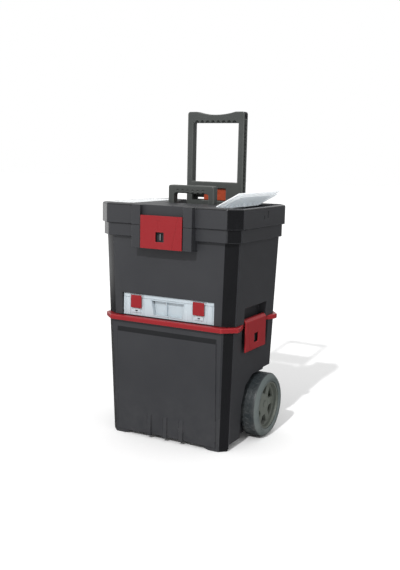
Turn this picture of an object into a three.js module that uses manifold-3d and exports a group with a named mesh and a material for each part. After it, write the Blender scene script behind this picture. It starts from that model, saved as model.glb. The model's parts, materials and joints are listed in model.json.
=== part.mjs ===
// A rolling tool box: a wheeled lower bin, a tool box latched on top of it with a slide-out
// organizer in its front and two small-parts wells in its lid, and a pull-out trolley handle.
// Millimetres, +Z up, the front faces -Y, and the object stands on z = 0.
import * as THREE from "three";
import { mergeVertices } from "three/addons/utils/BufferGeometryUtils.js";
import Module from "manifold-3d";

const wasm = await Module();
wasm.setup();

// ---------- driving dimensions ----------
// All Y values below count from the middle of the lid; the finished group is moved by
// CENTRE_Y so that the whole object is centred over the origin.
const CENTRE_Y = 8;
const GAP = 0.3; // between pieces that touch
const WALL = 3.5; // moulded plastic walls
const FAR = 1000; // past every face, for cutting tools

// Outlines seen from above: half width, front and back faces, and the corner cuts along X and Y.
const BIN = { halfX: 192.5, front: -141, back: 150, frontCut: [22, 22], backCut: [22, 24], z: [0, 322.4] };
const BIN_FOOT = { shareX: 0.943, shareY: 0.931, middle: 4.5 }; // the bin's foot against its mouth
const RIM = {
  halfX: 204.2,
  front: -150.8,
  back: 155,
  frontCut: [34, 31],
  backCut: [24, 30],
  z: [322.7, 335.7],
};
const BODY = { halfX: 203, front: -139, back: 146, frontCut: [33, 20], backCut: [24, 24], z: [336, 553] };
const BODY_FOOT = { shareX: 0.961, shareY: 0.968, middle: 3.5 };
const BAND = { halfX: 210, front: -149, back: 150, frontCut: [31, 25], backCut: [24, 25], z: [553, 586.7] };
const LID = { halfX: 215, front: -154, back: 156, frontCut: [34, 28], backCut: [24, 25], z: [587, 640] };

const BIN_FLOOR = 21; // inside face of the bin's floor
const PANEL = { halfX: 153, proud: 2.5, z: [10, 291], slopeTop: 309 }; // raised on the bin's front
const FOOT_RIBS = { x: [-50, 0, 50], halfWidth: 6.5 }; // down the front, over the arch between the feet
const ARCH = { foot: 134, half: 112, height: 12, shoulder: 9 }; // under the bin, from foot to foot
const SIDE_ARCH = { front: -113, rise: -108, height: 17 };
// the bin's lower back wall stands further in than its upper one, with cut corners out to x
const STEP = { back: 100, z: 188, corner: 34, x: 200 };
const SIDE_RECESS = { front: -64, back: 84, depth: 11, bottom: 245 }; // in the bin's sides, behind the latches
const RIM_MOUTH = { halfX: 176, y: [-128, 98] };
const RIM_NOTCH = { lip: 12.2, frontRun: 44, backRun: 24, step: 4 }; // beside the latches the rim steps in
const TRENCH = { front: 105, binHalfX: 93, bodyHalfX: 95, wall: 4 }; // the trolley's way up the back
const WHEEL = { y: 58, radius: 89, inner: 172, outer: 222, tyreSeat: 66 };
// the wheels' bays, whose arch is given as points Y, Z
const BAY = { x: 166, arch: [[-46, -1], [-48, 110], [-30, 160], [10, 183]] };
const AXLE = { radius: 6, bore: 6.4, end: 206.6, tunnel: [46, 96], roof: 104, washer: 13 };
// the hub's web is a shallow dish, from X webX[0] at the boss to webX[1] at the rim
const HUB = { boss: 17, bossX: [171.2, 207], rimX: [174, 217], rimWall: 5, webX: [193, 201], webWall: 6, windows: 6 };
const HUB_CAP = { radius: 16, x: [207.3, 212.3] };
const STAPLE = { halfThick: 2, eye: 2.2 }; // the padlock eyes are small steel tabs
const GUIDE = { halfX: 116, plateY: [148.6, 152.4], tongueFront: 139, z: [200, 244] };

const SKIRT = { halfX: 172, y: [-124, 95], z: [324, 338], wall: 4 }; // sits inside the bin's rim
const SLOT = { halfX: 141, back: 92, z: [337, 397] }; // where the organizer slides in
const POCKET = { x: 172, halfY: 67, z: [336, 378] }; // in the tool box's sides, over the latches
const BEZEL = { halfX: 90.7, recess: 64, front: -170, seat: -162, bottom: 526.7 }; // round the front latch
const HINGE = { y: 147, z: 605, radius: 7.5, pin: 2.5, bore: 2.9, x: [132, 168], reach: 14 };
const NOTCH = { halfX: 112, front: 62 }; // in the lid's back, for the trolley handle
const WELL = { x: [131, 200], y: [-113, 124], floor: 604 };
const COVER = { hinge: 127.5, outer: 206, y: [-118.5, 129.5], z: 638, open: 29 };
const CARRY = { halfX: 70.5, arm: 17, y: [-19.5, 3.5], top: 688, grip: 22, pivotZ: 625, pin: 3 };
const CARRY_PIVOT_Y = (CARRY.y[0] + CARRY.y[1]) / 2;
const CRADLE = { halfX: 76, front: -34, floor: 611.5 }; // the carry handle folds down into it

const PLATE = { halfWidth: 62.5, height: 86, thick: 4, window: 25.5, windowDrop: 55, windowShift: 3.5 };
const FRONT_LATCH = { outer: -172, top: 613.5, pivotY: -166.5, pivotZ: 609.5 };
const SIDE_LATCH = { outer: 199, top: 344.5, pivotX: 189, pivotZ: 342.5, barrel: 4.3, pin: 1.8 };

const TROLLEY = {
  halfX: 89.8,
  y: [114, 137.6],
  z: [262, 891],
  leg: 18,
  window: [695, 860],
  panel: 600, // underside of the part that holds the button
  dip: 8.5, // the grip's top sags by this much between plus and minus dipHalf
  dipHalf: 62,
};
const BUTTON = { halfX: 36.5, y: [121, 130.5], z: [643, 676.5], pocketY: 134.8 };

const TRAY = { halfX: 139.2, y: [-131, 88], z: [337.6, 386], wall: 2, lidTop: 396.3 };
const CLIP = { x: [79.3, 113], outer: -137, z: [360.5, 393.4], pivotY: -134.6, pivotZ: 391.5, barrel: 1.9 };

// ---------- finishes ----------
const BLACK = { color: 0x2c2d30, roughness: 0.45, metalness: 0 };
const RED = { color: 0x9c2a2e, roughness: 0.42, metalness: 0 };
const ORANGE = { color: 0xb2481f, roughness: 0.45, metalness: 0 };
const OLIVE = { color: 0x565855, roughness: 0.5, metalness: 0 };
const TYRE = { color: 0x5c6868, roughness: 0.75, metalness: 0 };
const STEEL = { color: 0xb9bcc0, roughness: 0.3, metalness: 1 };
const CLEAR = { color: 0xdfe8ee, roughness: 0.2, metalness: 0, transparent: true, opacity: 0.6 };

// ---------- solids ----------
function solid(geometry) {
  const bare = geometry.clone();
  bare.deleteAttribute("normal");
  bare.deleteAttribute("uv");
  const merged = mergeVertices(bare, 1e-4);
  const triVerts = new Uint32Array(merged.index.array);
  const vertProperties = merged.attributes.position.array;
  return new wasm.Manifold(new wasm.Mesh({ numProp: 3, vertProperties, triVerts }));
}

function join(...solids) {
  return solids.reduce((sum, next) => sum.add(next));
}

function cut(body, ...tools) {
  return tools.reduce((rest, tool) => rest.subtract(tool), body);
}

function block([x0, x1], [y0, y1], [z0, z1]) {
  const box = new THREE.BoxGeometry(Math.abs(x1 - x0), y1 - y0, z1 - z0);
  return solid(box.translate((x0 + x1) / 2, (y0 + y1) / 2, (z0 + z1) / 2));
}

// A block on one side of the object: side is 1 for the right and -1 for the left.
function sideBlock(side, [x0, x1], y, z) {
  return block([side * x0, side * x1], y, z);
}

// Round rods along one axis, between two places on it.
function rodX(radius, [x0, x1], y, z, facets = 16) {
  const rod = new THREE.CylinderGeometry(radius, radius, Math.abs(x1 - x0), facets);
  return solid(rod.rotateZ(Math.PI / 2).translate((x0 + x1) / 2, y, z));
}

function rodY(radius, x, [y0, y1], z, facets = 16) {
  const rod = new THREE.CylinderGeometry(radius, radius, y1 - y0, facets);
  return solid(rod.translate(x, (y0 + y1) / 2, z));
}

function shapeOf(points) {
  return new THREE.Shape(points.map(([a, b]) => new THREE.Vector2(a, b)));
}

// Prisms over an outline: upright, across the object (points are Y, Z) and along it (points are X, Z).
function upright(shape, [z0, z1]) {
  const prism = new THREE.ExtrudeGeometry(shape, { depth: z1 - z0, bevelEnabled: false });
  return solid(prism.translate(0, 0, z0));
}

function acrossX(shape, [x0, x1]) {
  const prism = new THREE.ExtrudeGeometry(shape, { depth: Math.abs(x1 - x0), bevelEnabled: false });
  const turn = new THREE.Matrix4().set(0, 0, 1, Math.min(x0, x1), 1, 0, 0, 0, 0, 1, 0, 0, 0, 0, 0, 1);
  return solid(prism.applyMatrix4(turn));
}

function alongY(shape, [y0, y1], curveSegments = 6) {
  const prism = new THREE.ExtrudeGeometry(shape, { depth: y1 - y0, bevelEnabled: false, curveSegments });
  return solid(prism.rotateX(Math.PI / 2).translate(0, y1, 0));
}

// The outline of a moulding seen from above, smaller all round by inset.
function plan(box, inset = 0) {
  const [fx, fy] = box.frontCut;
  const [bx, by] = box.backCut;
  const x = box.halfX - inset;
  const front = box.front + inset;
  const back = box.back - inset;
  const half = [[x, front + fy], [x, back - by], [x - bx, back]];
  const right = [[x - fx, front], ...half];
  const left = right.map(([a, b]) => [-a, b]).reverse();
  return shapeOf([...right, ...left]);
}

// An upright moulding that narrows towards its foot.
function tapered(shape, [z0, z1], foot) {
  const prism = new THREE.ExtrudeGeometry(shape, { depth: z1 - z0, bevelEnabled: false });
  const place = prism.getAttribute("position");
  for (let i = 0; i < place.count; i++) {
    const share = place.getZ(i) / (z1 - z0);
    const x = place.getX(i) * THREE.MathUtils.lerp(foot.shareX, 1, share);
    const fromMiddle = (place.getY(i) - foot.middle) * THREE.MathUtils.lerp(foot.shareY, 1, share);
    place.setXYZ(i, x, foot.middle + fromMiddle, z0 + place.getZ(i));
  }
  return solid(prism);
}

// A turned ring or disc whose axis lies along X: points are radius and X.
function turned(points, side, y, z, facets) {
  const profile = points.map(([radius, x]) => new THREE.Vector2(radius, -side * x));
  if (side > 0) profile.reverse();
  const lathe = new THREE.LatheGeometry(profile, facets);
  return solid(lathe.rotateZ(Math.PI / 2).translate(0, y, z));
}

function both(make) {
  return join(make(1), make(-1));
}

// ---------- lower bin ----------
function sideRecess(side) {
  const x = BIN.halfX - SIDE_RECESS.depth;
  const slope = (BIN.halfX * (1 - BIN_FOOT.shareX)) / BIN.z[1];
  const foot = BIN.halfX - (BIN.z[1] - SIDE_RECESS.bottom) * slope; // where the wall itself is down there
  const wedge = shapeOf([
    [side * x, BIN.z[1] + 1],
    [side * foot, SIDE_RECESS.bottom],
    [side * FAR, SIDE_RECESS.bottom],
    [side * FAR, BIN.z[1] + 1],
  ]);
  return alongY(wedge, [SIDE_RECESS.front - 8, SIDE_RECESS.back + 6]);
}

// The space of one wheel, from its arch to the back and down to the floor. A wall makes it larger.
function wheelBay(side, wall) {
  const arch = BAY.arch.map(([y, z]) => [y - wall, z + wall]);
  const top = arch[arch.length - 1][1];
  return acrossX(shapeOf([...arch, [FAR, top], [FAR, arch[0][1]]]), [side * (BAY.x - wall), side * FAR]);
}

function lowerBin() {
  const outer = tapered(plan(BIN), BIN.z, BIN_FOOT);
  const frontAt = (z) => -131 - (10 * z) / BIN.z[1]; // the front wall leans out towards the mouth
  const [panelFoot, panelTop] = PANEL.z;
  const panel = acrossX(
    shapeOf([
      [frontAt(2 * panelFoot) + 2, panelFoot],
      [frontAt(2 * panelFoot) - PANEL.proud, panelFoot],
      [frontAt(panelTop) - PANEL.proud, panelTop],
      [frontAt(PANEL.slopeTop) + 1, PANEL.slopeTop],
    ]),
    [-PANEL.halfX, PANEL.halfX],
  );
  const ribSection = shapeOf([[-128, 9], [-139, 9], [-139, 20], [-137.5, 66], [-134, 75], [-128, 75]]);
  const rib = (x) => acrossX(ribSection, [x - FOOT_RIBS.halfWidth, x + FOOT_RIBS.halfWidth]);

  const inner = tapered(plan(BIN, WALL), [BIN.z[0], BIN.z[1] + 1], BIN_FOOT);
  const wall = TRENCH.wall;
  const cavity = cut(
    inner,
    block([-FAR, FAR], [-FAR, FAR], [-1, BIN_FLOOR]),
    block([-TRENCH.binHalfX - wall, TRENCH.binHalfX + wall], [TRENCH.front - wall, FAR], [0, FAR]),
    block([-FAR, FAR], [STEP.back - wall, FAR], [0, STEP.z + wall]),
    block([-FAR, FAR], [AXLE.tunnel[0] - wall, FAR], [0, AXLE.roof + wall]),
    both((side) => wheelBay(side, wall)),
    both((side) => sideBlock(side, [176.5, FAR], [SIDE_RECESS.front - 12, SIDE_RECESS.back + 10], [240, FAR])),
  );
  const halfArch = [[60, ARCH.height], [ARCH.half, ARCH.shoulder], [ARCH.foot, -1]];
  const arch = shapeOf([...halfArch.map(([x, z]) => [-x, z]).reverse(), ...halfArch]);
  const { front, rise, height } = SIDE_ARCH;
  const sideArch = shapeOf([[front, -1], [rise, height], [FAR, height], [FAR, -1]]);
  const corner = (side) => {
    const { back, x, corner: reach } = STEP;
    const outline = [[x - reach, back], [x, back - reach], [x, back]];
    return upright(shapeOf(outline.map(([a, b]) => [side * a, b])), [-1, STEP.z]);
  };
  const hollows = [
    cavity,
    block([-FAR, FAR], [STEP.back, FAR], [-1, STEP.z]),
    both(corner),
    block([-TRENCH.binHalfX, TRENCH.binHalfX], [TRENCH.front, FAR], [0, FAR]),
    both((side) => wheelBay(side, 0)),
    both(sideRecess),
    alongY(arch, [-FAR, FAR]),
    acrossX(sideArch, [-FAR, FAR]),
    block([-152, 152], AXLE.tunnel, [-1, AXLE.roof]),
    rodX(AXLE.bore, [-FAR, FAR], WHEEL.y, WHEEL.radius),
  ];
  return cut(outer.add(panel), ...hollows).add(join(...FOOT_RIBS.x.map(rib)));
}

function binRim() {
  const { halfX, front, back, frontCut, backCut } = RIM;
  const { lip, frontRun, backRun, step } = RIM_NOTCH;
  const recessWall = BIN.halfX - SIDE_RECESS.depth;
  const right = [
    [halfX - frontCut[0], front],
    [halfX, front + frontCut[1]],
    [halfX, SIDE_RECESS.front - frontRun],
    [halfX - lip, SIDE_RECESS.front],
    [recessWall, SIDE_RECESS.front + step],
    [recessWall, SIDE_RECESS.back - step],
    [halfX - lip, SIDE_RECESS.back],
    [halfX, SIDE_RECESS.back + backRun],
    [halfX, back - backCut[1]],
    [halfX - backCut[0], back],
  ];
  const left = right.map(([x, y]) => [-x, y]).reverse();
  const ring = upright(shapeOf([...right, ...left]), RIM.z);
  return cut(
    ring,
    block([-RIM_MOUTH.halfX, RIM_MOUTH.halfX], RIM_MOUTH.y, [0, FAR]),
    block([-TRENCH.bodyHalfX, TRENCH.bodyHalfX], [TRENCH.front - 2, FAR], [0, FAR]),
  );
}

// ---------- wheels ----------
function axle() {
  return rodX(AXLE.radius, [-AXLE.end, AXLE.end], WHEEL.y, WHEEL.radius, 20);
}

function axleWasher(side) {
  const from = BAY.x + 0.4;
  const to = WHEEL.inner - 1.2;
  const { bore, washer } = AXLE;
  const ring = [[bore, from], [washer, from], [washer, to], [bore, to], [bore, from]];
  return turned(ring, side, WHEEL.y, WHEEL.radius, 20);
}

function tyre(side) {
  const { inner, outer, radius, tyreSeat } = WHEEL;
  const section = [
    [tyreSeat, inner],
    [radius - 5, inner],
    [radius, inner + 6],
    [radius, outer - 12],
    [radius - 8, outer],
    [tyreSeat + 4, outer],
    [tyreSeat, outer - 4],
    [tyreSeat, inner],
  ];
  return turned(section, side, WHEEL.y, radius, 48);
}

// A closed ring section between two radii, square to the axle.
function ringSection([inside, outside], [from, to]) {
  return [[inside, from], [outside, from], [outside, to], [inside, to], [inside, from]];
}

function hub(side) {
  const seat = WHEEL.tyreSeat - GAP;
  const rim = ringSection([seat - HUB.rimWall, seat], HUB.rimX);
  const boss = ringSection([AXLE.bore, HUB.boss], HUB.bossX);
  const [middle, edge] = HUB.webX;
  const web = [
    [HUB.boss - 5, middle],
    [seat - 3, edge],
    [seat - 3, edge + HUB.webWall],
    [HUB.boss - 5, middle + HUB.webWall],
    [HUB.boss - 5, middle],
  ];
  const body = join(...[rim, web, boss].map((part) => turned(part, side, WHEEL.y, WHEEL.radius, 36)));
  const window = (angle) => {
    const at = (radius, turn) => [
      WHEEL.y + radius * Math.cos(angle + turn),
      WHEEL.radius + radius * Math.sin(angle + turn),
    ];
    const corners = shapeOf([at(26, -0.28), at(55, -0.33), at(57, 0), at(55, 0.33), at(26, 0.28)]);
    return acrossX(corners, [side * 190, side * 210]);
  };
  const pitch = (2 * Math.PI) / HUB.windows;
  const windows = Array.from({ length: HUB.windows }, (_, i) => window((i + 0.5) * pitch));
  return cut(body, ...windows);
}

function hubCap(side) {
  const { radius, x: [foot, top] } = HUB_CAP;
  const dome = [[0, foot], [radius, foot], [radius, foot + 1.7], [radius - 5, top - 0.8], [0, top]];
  return turned(dome, side, WHEEL.y, WHEEL.radius, 24);
}

// ---------- padlock eyes, behind the windows of the latches ----------
function sideStaple(side) {
  const y = PLATE.windowShift;
  const z = SIDE_LATCH.top - PLATE.windowDrop;
  const thick = [y - STAPLE.halfThick, y + STAPLE.halfThick];
  const tab = sideBlock(side, [186.4, SIDE_LATCH.outer - PLATE.thick - 1.2], thick, [z - 8, z + 6]);
  return cut(tab, rodY(STAPLE.eye, side * 190.5, [y - 5, y + 5], z - 1, 12));
}

function frontStaple() {
  const x = -PLATE.windowShift;
  const z = FRONT_LATCH.top - PLATE.windowDrop;
  const back = BEZEL.seat - GAP;
  const thick = [x - STAPLE.halfThick, x + STAPLE.halfThick];
  const tab = block(thick, [FRONT_LATCH.outer + PLATE.thick + 0.5, back], [z - 8, z + 8]);
  return cut(tab, rodX(1.5, [x - 5, x + 5], back - 2.6, z, 12));
}

// ---------- trolley handle ----------
function trolleyFrame() {
  const { halfX, y, z, leg, window, panel, dip, dipHalf } = TROLLEY;
  const corner = 8;
  const outline = new THREE.Shape();
  outline.moveTo(-halfX, z[0]);
  outline.lineTo(halfX, z[0]);
  outline.lineTo(halfX, z[1] - corner);
  outline.quadraticCurveTo(halfX, z[1], halfX - corner, z[1]);
  outline.lineTo(dipHalf, z[1]);
  outline.quadraticCurveTo(0, z[1] - 2 * dip, -dipHalf, z[1]);
  outline.lineTo(corner - halfX, z[1]);
  outline.quadraticCurveTo(-halfX, z[1], -halfX, z[1] - corner);
  const inside = halfX - leg;
  const opening = (from, to) => block([-inside, inside], [0, FAR], [from, to]);
  const channel = (side) => sideBlock(side, [halfX - 5, FAR], [y[0] + 6, y[1] - 6], [z[0] + 20, z[1] - 22]);
  const play = 0.6; // round the button
  const pocket = block(
    [-BUTTON.halfX - play, BUTTON.halfX + play],
    [0, BUTTON.pocketY],
    [BUTTON.z[0] - play, BUTTON.z[1] + play],
  );
  return cut(
    alongY(outline, y, 8),
    opening(...window),
    opening(z[0] + 26, panel),
    pocket,
    both(channel),
  );
}

function releaseButton() {
  return block([-BUTTON.halfX, BUTTON.halfX], BUTTON.y, BUTTON.z);
}

// A bar across the back of the bin that keeps the trolley's legs in their trench.
function trolleyGuide() {
  const { halfX, plateY, tongueFront, z } = GUIDE;
  const bar = block([-halfX, halfX], plateY, z);
  return bar.add(block([2 - TRENCH.binHalfX, TRENCH.binHalfX - 2], [tongueFront, plateY[0] + 1], z));
}

// ---------- tool box ----------
function lidKnuckle(side) {
  const [from, to] = HINGE.x;
  const arm = sideBlock(side, [from, to], [HINGE.y - HINGE.radius, HINGE.y + 6], [556, HINGE.z]);
  return arm.add(rodX(HINGE.radius, [side * from, side * to], HINGE.y, HINGE.z, 20));
}

function toolBoxBody() {
  const outer = tapered(plan(BODY), BODY.z, BODY_FOOT);
  const band = upright(plan(BAND), BAND.z);
  // the front latch's seat, between two cheeks that are pieces of their own
  const seat = block([-BEZEL.recess, BEZEL.recess], [BEZEL.seat, -136], [BEZEL.bottom, BAND.z[1]]);
  const shelf = block([-BEZEL.halfX, BEZEL.halfX], [BAND.front, -136], [BEZEL.bottom, BAND.z[0] + 1]);
  const { halfX, y, z, wall } = SKIRT;
  const skirt = cut(
    block([-halfX, halfX], y, z),
    block([wall - halfX, halfX - wall], [y[0] + wall, y[1] - wall], [z[0] - 1, z[1] - 4.5]),
  );
  const inner = tapered(plan(BODY, WALL), [BODY.z[0], BAND.z[1] + 1], BODY_FOOT);
  const trench = TRENCH.bodyHalfX;
  const cavity = cut(
    inner,
    block([-FAR, FAR], [-FAR, FAR], [0, 341]),
    block([-SLOT.halfX - 4, SLOT.halfX + 4], [-FAR, SLOT.back + 4], [0, SLOT.z[1] + 4]),
    block([-trench - 4, trench + 4], [TRENCH.front - 4, FAR], [0, FAR]),
    block([-NOTCH.halfX - 3, NOTCH.halfX + 3], [NOTCH.front + 2, FAR], [BAND.z[1] - 4, FAR]),
    both((side) => sideBlock(side, [POCKET.x - 4, FAR], [-POCKET.halfY - 4, POCKET.halfY + 4], [0, 382])),
  );
  const shell = cut(
    join(outer, band, seat, shelf, skirt),
    cavity,
    block([-SLOT.halfX, SLOT.halfX], [-FAR, SLOT.back], SLOT.z),
    block([-trench, trench], [TRENCH.front, FAR], [0, FAR]),
    both((side) => sideBlock(side, [POCKET.x, FAR], [-POCKET.halfY, POCKET.halfY], POCKET.z)),
  );
  const pinHoles = both((side) =>
    rodY(SIDE_LATCH.pin + GAP, side * SIDE_LATCH.pivotX, [-73, 73], SIDE_LATCH.pivotZ, 12),
  );
  const hingeBore = rodX(HINGE.bore, [-FAR, FAR], HINGE.y, HINGE.z, 12);
  return cut(shell.add(both(lidKnuckle)), pinHoles, hingeBore);
}

function bezelCheek(side) {
  const x = [BEZEL.recess + GAP, BEZEL.halfX];
  return sideBlock(side, x, [BEZEL.front, BAND.front - GAP], [BEZEL.bottom, BAND.z[1]]);
}

function lidHingePin(side) {
  const reach = HINGE.reach - 1;
  return rodX(HINGE.pin, [side * (HINGE.x[0] - reach), side * (HINGE.x[1] + reach)], HINGE.y, HINGE.z, 12);
}

function sideLatchPin(side) {
  return rodY(SIDE_LATCH.pin, side * SIDE_LATCH.pivotX, [-72.5, 72.5], SIDE_LATCH.pivotZ, 12);
}

// ---------- lid ----------
// Walls and bosses that stand inside the lid: round the wells, the cradle, the notch and the hinges.
function lidInnerWalls() {
  const wells = both((side) =>
    sideBlock(side, [COVER.hinge - 7, WELL.x[1] + 3], [WELL.y[0] - 3, WELL.y[1] + 3], [WELL.floor - WALL, FAR]),
  );
  const cradle = block([-CRADLE.halfX - 14, CRADLE.halfX + 14], [CRADLE.front - 4, NOTCH.front], [608, FAR]);
  const notch = block([-NOTCH.halfX - 4, NOTCH.halfX + 4], [NOTCH.front - 4, FAR], [0, FAR]);
  const bosses = both((side) =>
    sideBlock(side, [HINGE.x[0] - HINGE.reach, HINGE.x[1] + HINGE.reach], [136, FAR], [590, FAR]),
  );
  return join(wells, cradle, notch, bosses);
}

function lid() {
  const rounding = 5;
  const prism = new THREE.ExtrudeGeometry(plan(LID), {
    depth: LID.z[1] - LID.z[0],
    bevelThickness: rounding,
    bevelSize: rounding,
    bevelOffset: -rounding,
    bevelSegments: 2,
  });
  const outer = cut(
    solid(prism.translate(0, 0, LID.z[0] - rounding)),
    block([-FAR, FAR], [-FAR, FAR], [0, LID.z[0]]),
  );
  const bezel = block([-BEZEL.halfX, BEZEL.halfX], [BEZEL.front, -150], LID.z);
  const cavity = cut(upright(plan(LID, 4), [0, LID.z[1] - 4]), lidInnerWalls());
  const body = cut(
    outer.add(bezel),
    cavity,
    // wells with a rebate for their covers and a groove for the cover's hinge
    both((side) => sideBlock(side, WELL.x, WELL.y, [WELL.floor, FAR])),
    both((side) => sideBlock(side, [WELL.x[0], COVER.outer + 0.5], [-119, 130], [637, FAR])),
    both((side) => sideBlock(side, [COVER.hinge - 4.3, WELL.x[0] + 1], [-113, 124], [634.6, FAR])),
    // the carry handle's cradle, and the notch behind it
    block([-CRADLE.halfX, CRADLE.halfX], [CRADLE.front, NOTCH.front + 1], [CRADLE.floor, FAR]),
    block([-NOTCH.halfX, NOTCH.halfX], [NOTCH.front, FAR], [0, FAR]),
    // the front latch's recess
    block([-BEZEL.recess, BEZEL.recess], [-FAR, -158.5], [0, FAR]),
    // room for the tool box's hinge knuckles, and for the back skirt to swing
    both((side) => sideBlock(side, [HINGE.x[0] - 0.6, HINGE.x[1] + 0.6], [133, FAR], [0, 621])),
    block([-FAR, FAR], [133, FAR], [0, 591.5]),
    // slots for the covers' catches
    both((side) => sideBlock(side, [LID.halfX - 3, FAR], [17, 21], [609, 628])),
    both((side) => sideBlock(side, [LID.halfX - 3, FAR], [-6, -2], [607, 616])),
  );
  return cut(
    body,
    rodX(1.9, [-72, 72], FRONT_LATCH.pivotY, FRONT_LATCH.pivotZ, 12),
    rodX(HINGE.bore, [-HINGE.x[1] - HINGE.reach - 1, HINGE.x[1] + HINGE.reach + 1], HINGE.y, HINGE.z, 12),
    both((side) => rodX(CARRY.pin + GAP, [side * 60, side * 88], CARRY_PIVOT_Y, CARRY.pivotZ, 14)),
  );
}

// A see-through cover of one well, shut; its hinge barrel lies along Y.
function cover(side) {
  const plate = sideBlock(side, [COVER.hinge, COVER.outer], COVER.y, [637.3, 640]);
  const [x0, x1] = [WELL.x[0] + 1.5, WELL.x[1] - 1.5];
  const [y0, y1] = [WELL.y[0] + 1.5, WELL.y[1] - 1.5];
  const skirt = cut(
    sideBlock(side, [x0, x1], [y0, y1], [631, 638]),
    sideBlock(side, [x0 + 1.6, x1 - 1.6], [y0 + 1.6, y1 - 1.6], [630, 637.3]),
  );
  // the plate is cut back at both ends of the hinge groove
  const cutBack = [side * (COVER.hinge - 3), side * (WELL.x[0] + 1.2)];
  const hingeEnds = join(
    block(cutBack, [WELL.y[1] - 0.8, FAR], [630, 645]),
    block(cutBack, [-FAR, WELL.y[0] + 0.8], [630, 645]),
  );
  const barrel = rodY(2, side * COVER.hinge, [-111, 122], COVER.z, 14);
  return cut(join(plate, skirt), hingeEnds).add(barrel);
}

// ---------- carry handle ----------
function carryHandle() {
  const { halfX, arm, y, top, grip, pivotZ, pin } = CARRY;
  const corner = 7;
  const foot = pivotZ - 9;
  const outline = new THREE.Shape();
  outline.moveTo(-halfX, foot);
  outline.lineTo(arm - halfX, foot);
  outline.lineTo(arm - halfX, top - grip - corner);
  outline.quadraticCurveTo(arm - halfX, top - grip, arm - halfX + corner, top - grip);
  outline.lineTo(halfX - arm - corner, top - grip);
  outline.quadraticCurveTo(halfX - arm, top - grip, halfX - arm, top - grip - corner);
  outline.lineTo(halfX - arm, foot);
  outline.lineTo(halfX, foot);
  outline.lineTo(halfX, top - corner);
  outline.quadraticCurveTo(halfX, top, halfX - corner, top);
  outline.lineTo(corner - halfX, top);
  outline.quadraticCurveTo(-halfX, top, -halfX, top - corner);
  const round = acrossX(
    shapeOf([
      [y[0], foot + 5],
      [CARRY_PIVOT_Y - 5, foot],
      [CARRY_PIVOT_Y + 5, foot],
      [y[1], foot + 5],
      [y[1], FAR * 2],
      [y[0], FAR * 2],
    ]),
    [-halfX - 1, halfX + 1],
  );
  const bore = rodX(pin + GAP, [-FAR, FAR], CARRY_PIVOT_Y, pivotZ, 14);
  return cut(alongY(outline, y, 4).intersect(round), bore);
}

function carryPin(side) {
  return rodX(CARRY.pin, [side * (CARRY.halfX - CARRY.arm + 1), side * 87.5], CARRY_PIVOT_Y, CARRY.pivotZ, 14);
}

// ---------- latches ----------
function frontLatch() {
  const { outer, top, pivotY, pivotZ } = FRONT_LATCH;
  const { halfWidth, height, thick, window, windowDrop, windowShift } = PLATE;
  const plate = block([-halfWidth, halfWidth], [outer, outer + thick], [top - height, top]);
  const lip = block([-halfWidth, halfWidth], [outer, outer + 8], [top - height, top - height + 3]);
  const barrel = rodX(4, [-halfWidth, halfWidth], pivotY, pivotZ, 16);
  const eye = top - windowDrop;
  const hole = block(
    [-windowShift - window / 2, -windowShift + window / 2],
    [-FAR, outer + thick + 1],
    [eye - window / 2, eye + window / 2],
  );
  const groove = new THREE.BoxGeometry(1.4, 2, height + 30);
  const slanted = solid(groove.rotateY(0.21).translate(42, outer, top - height / 2));
  return cut(join(plate, lip, barrel), hole, slanted, rodX(1.9, [-FAR, FAR], pivotY, pivotZ, 12));
}

function frontLatchPin() {
  return rodX(1.6, [-71.5, 71.5], FRONT_LATCH.pivotY, FRONT_LATCH.pivotZ, 12);
}

function sideLatch(side) {
  const { outer, top, pivotX, pivotZ, barrel, pin } = SIDE_LATCH;
  const { halfWidth, height, thick, window, windowDrop, windowShift } = PLATE;
  const bottom = top - height;
  const section = shapeOf([
    [side * (outer - thick), bottom],
    [side * outer, bottom],
    [side * outer, top - 5],
    [side * (outer - 4), top],
    [side * pivotX, pivotZ + barrel],
    [side * pivotX, pivotZ - barrel],
    [side * (outer - thick), pivotZ - barrel],
  ]);
  const span = [-halfWidth, halfWidth];
  const eye = top - windowDrop;
  const hole = sideBlock(
    side,
    [outer - thick - 1, FAR],
    [windowShift - window / 2, windowShift + window / 2],
    [eye - window / 2, eye + window / 2],
  );
  const groove = new THREE.BoxGeometry(2, 1.4, height);
  const slanted = solid(groove.rotateX(0.21).translate(side * outer, -42, top - height / 2));
  const body = alongY(section, span).add(rodY(barrel, side * pivotX, span, pivotZ, 16));
  return cut(body, hole, slanted, rodY(pin + GAP, side * pivotX, [-FAR, FAR], pivotZ, 12));
}

// ---------- organizer ----------
function organizerBase() {
  const { halfX, y, z, wall } = TRAY;
  const pull = shapeOf([[-43, 345], [43, 345], [50, 383], [-50, 383]]);
  const pullRoom = shapeOf([[-46, 342], [46, 342], [54, FAR], [-54, FAR]]);
  const cavity = cut(
    block([-halfX + wall, halfX - wall], [y[0] + wall, y[1] - wall], [z[0] + wall, FAR]),
    alongY(pullRoom, [y[0], y[0] + 12]),
  );
  const catchX = [CLIP.x[0] + 4, CLIP.x[1] - 4];
  const catches = both((side) => sideBlock(side, catchX, [-133.6, y[0] + 1], [346, 354]));
  const tray = block([-halfX, halfX], y, z).add(catches);
  return cut(tray, cavity, alongY(pull, [-FAR, y[0] + 10]));
}

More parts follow.
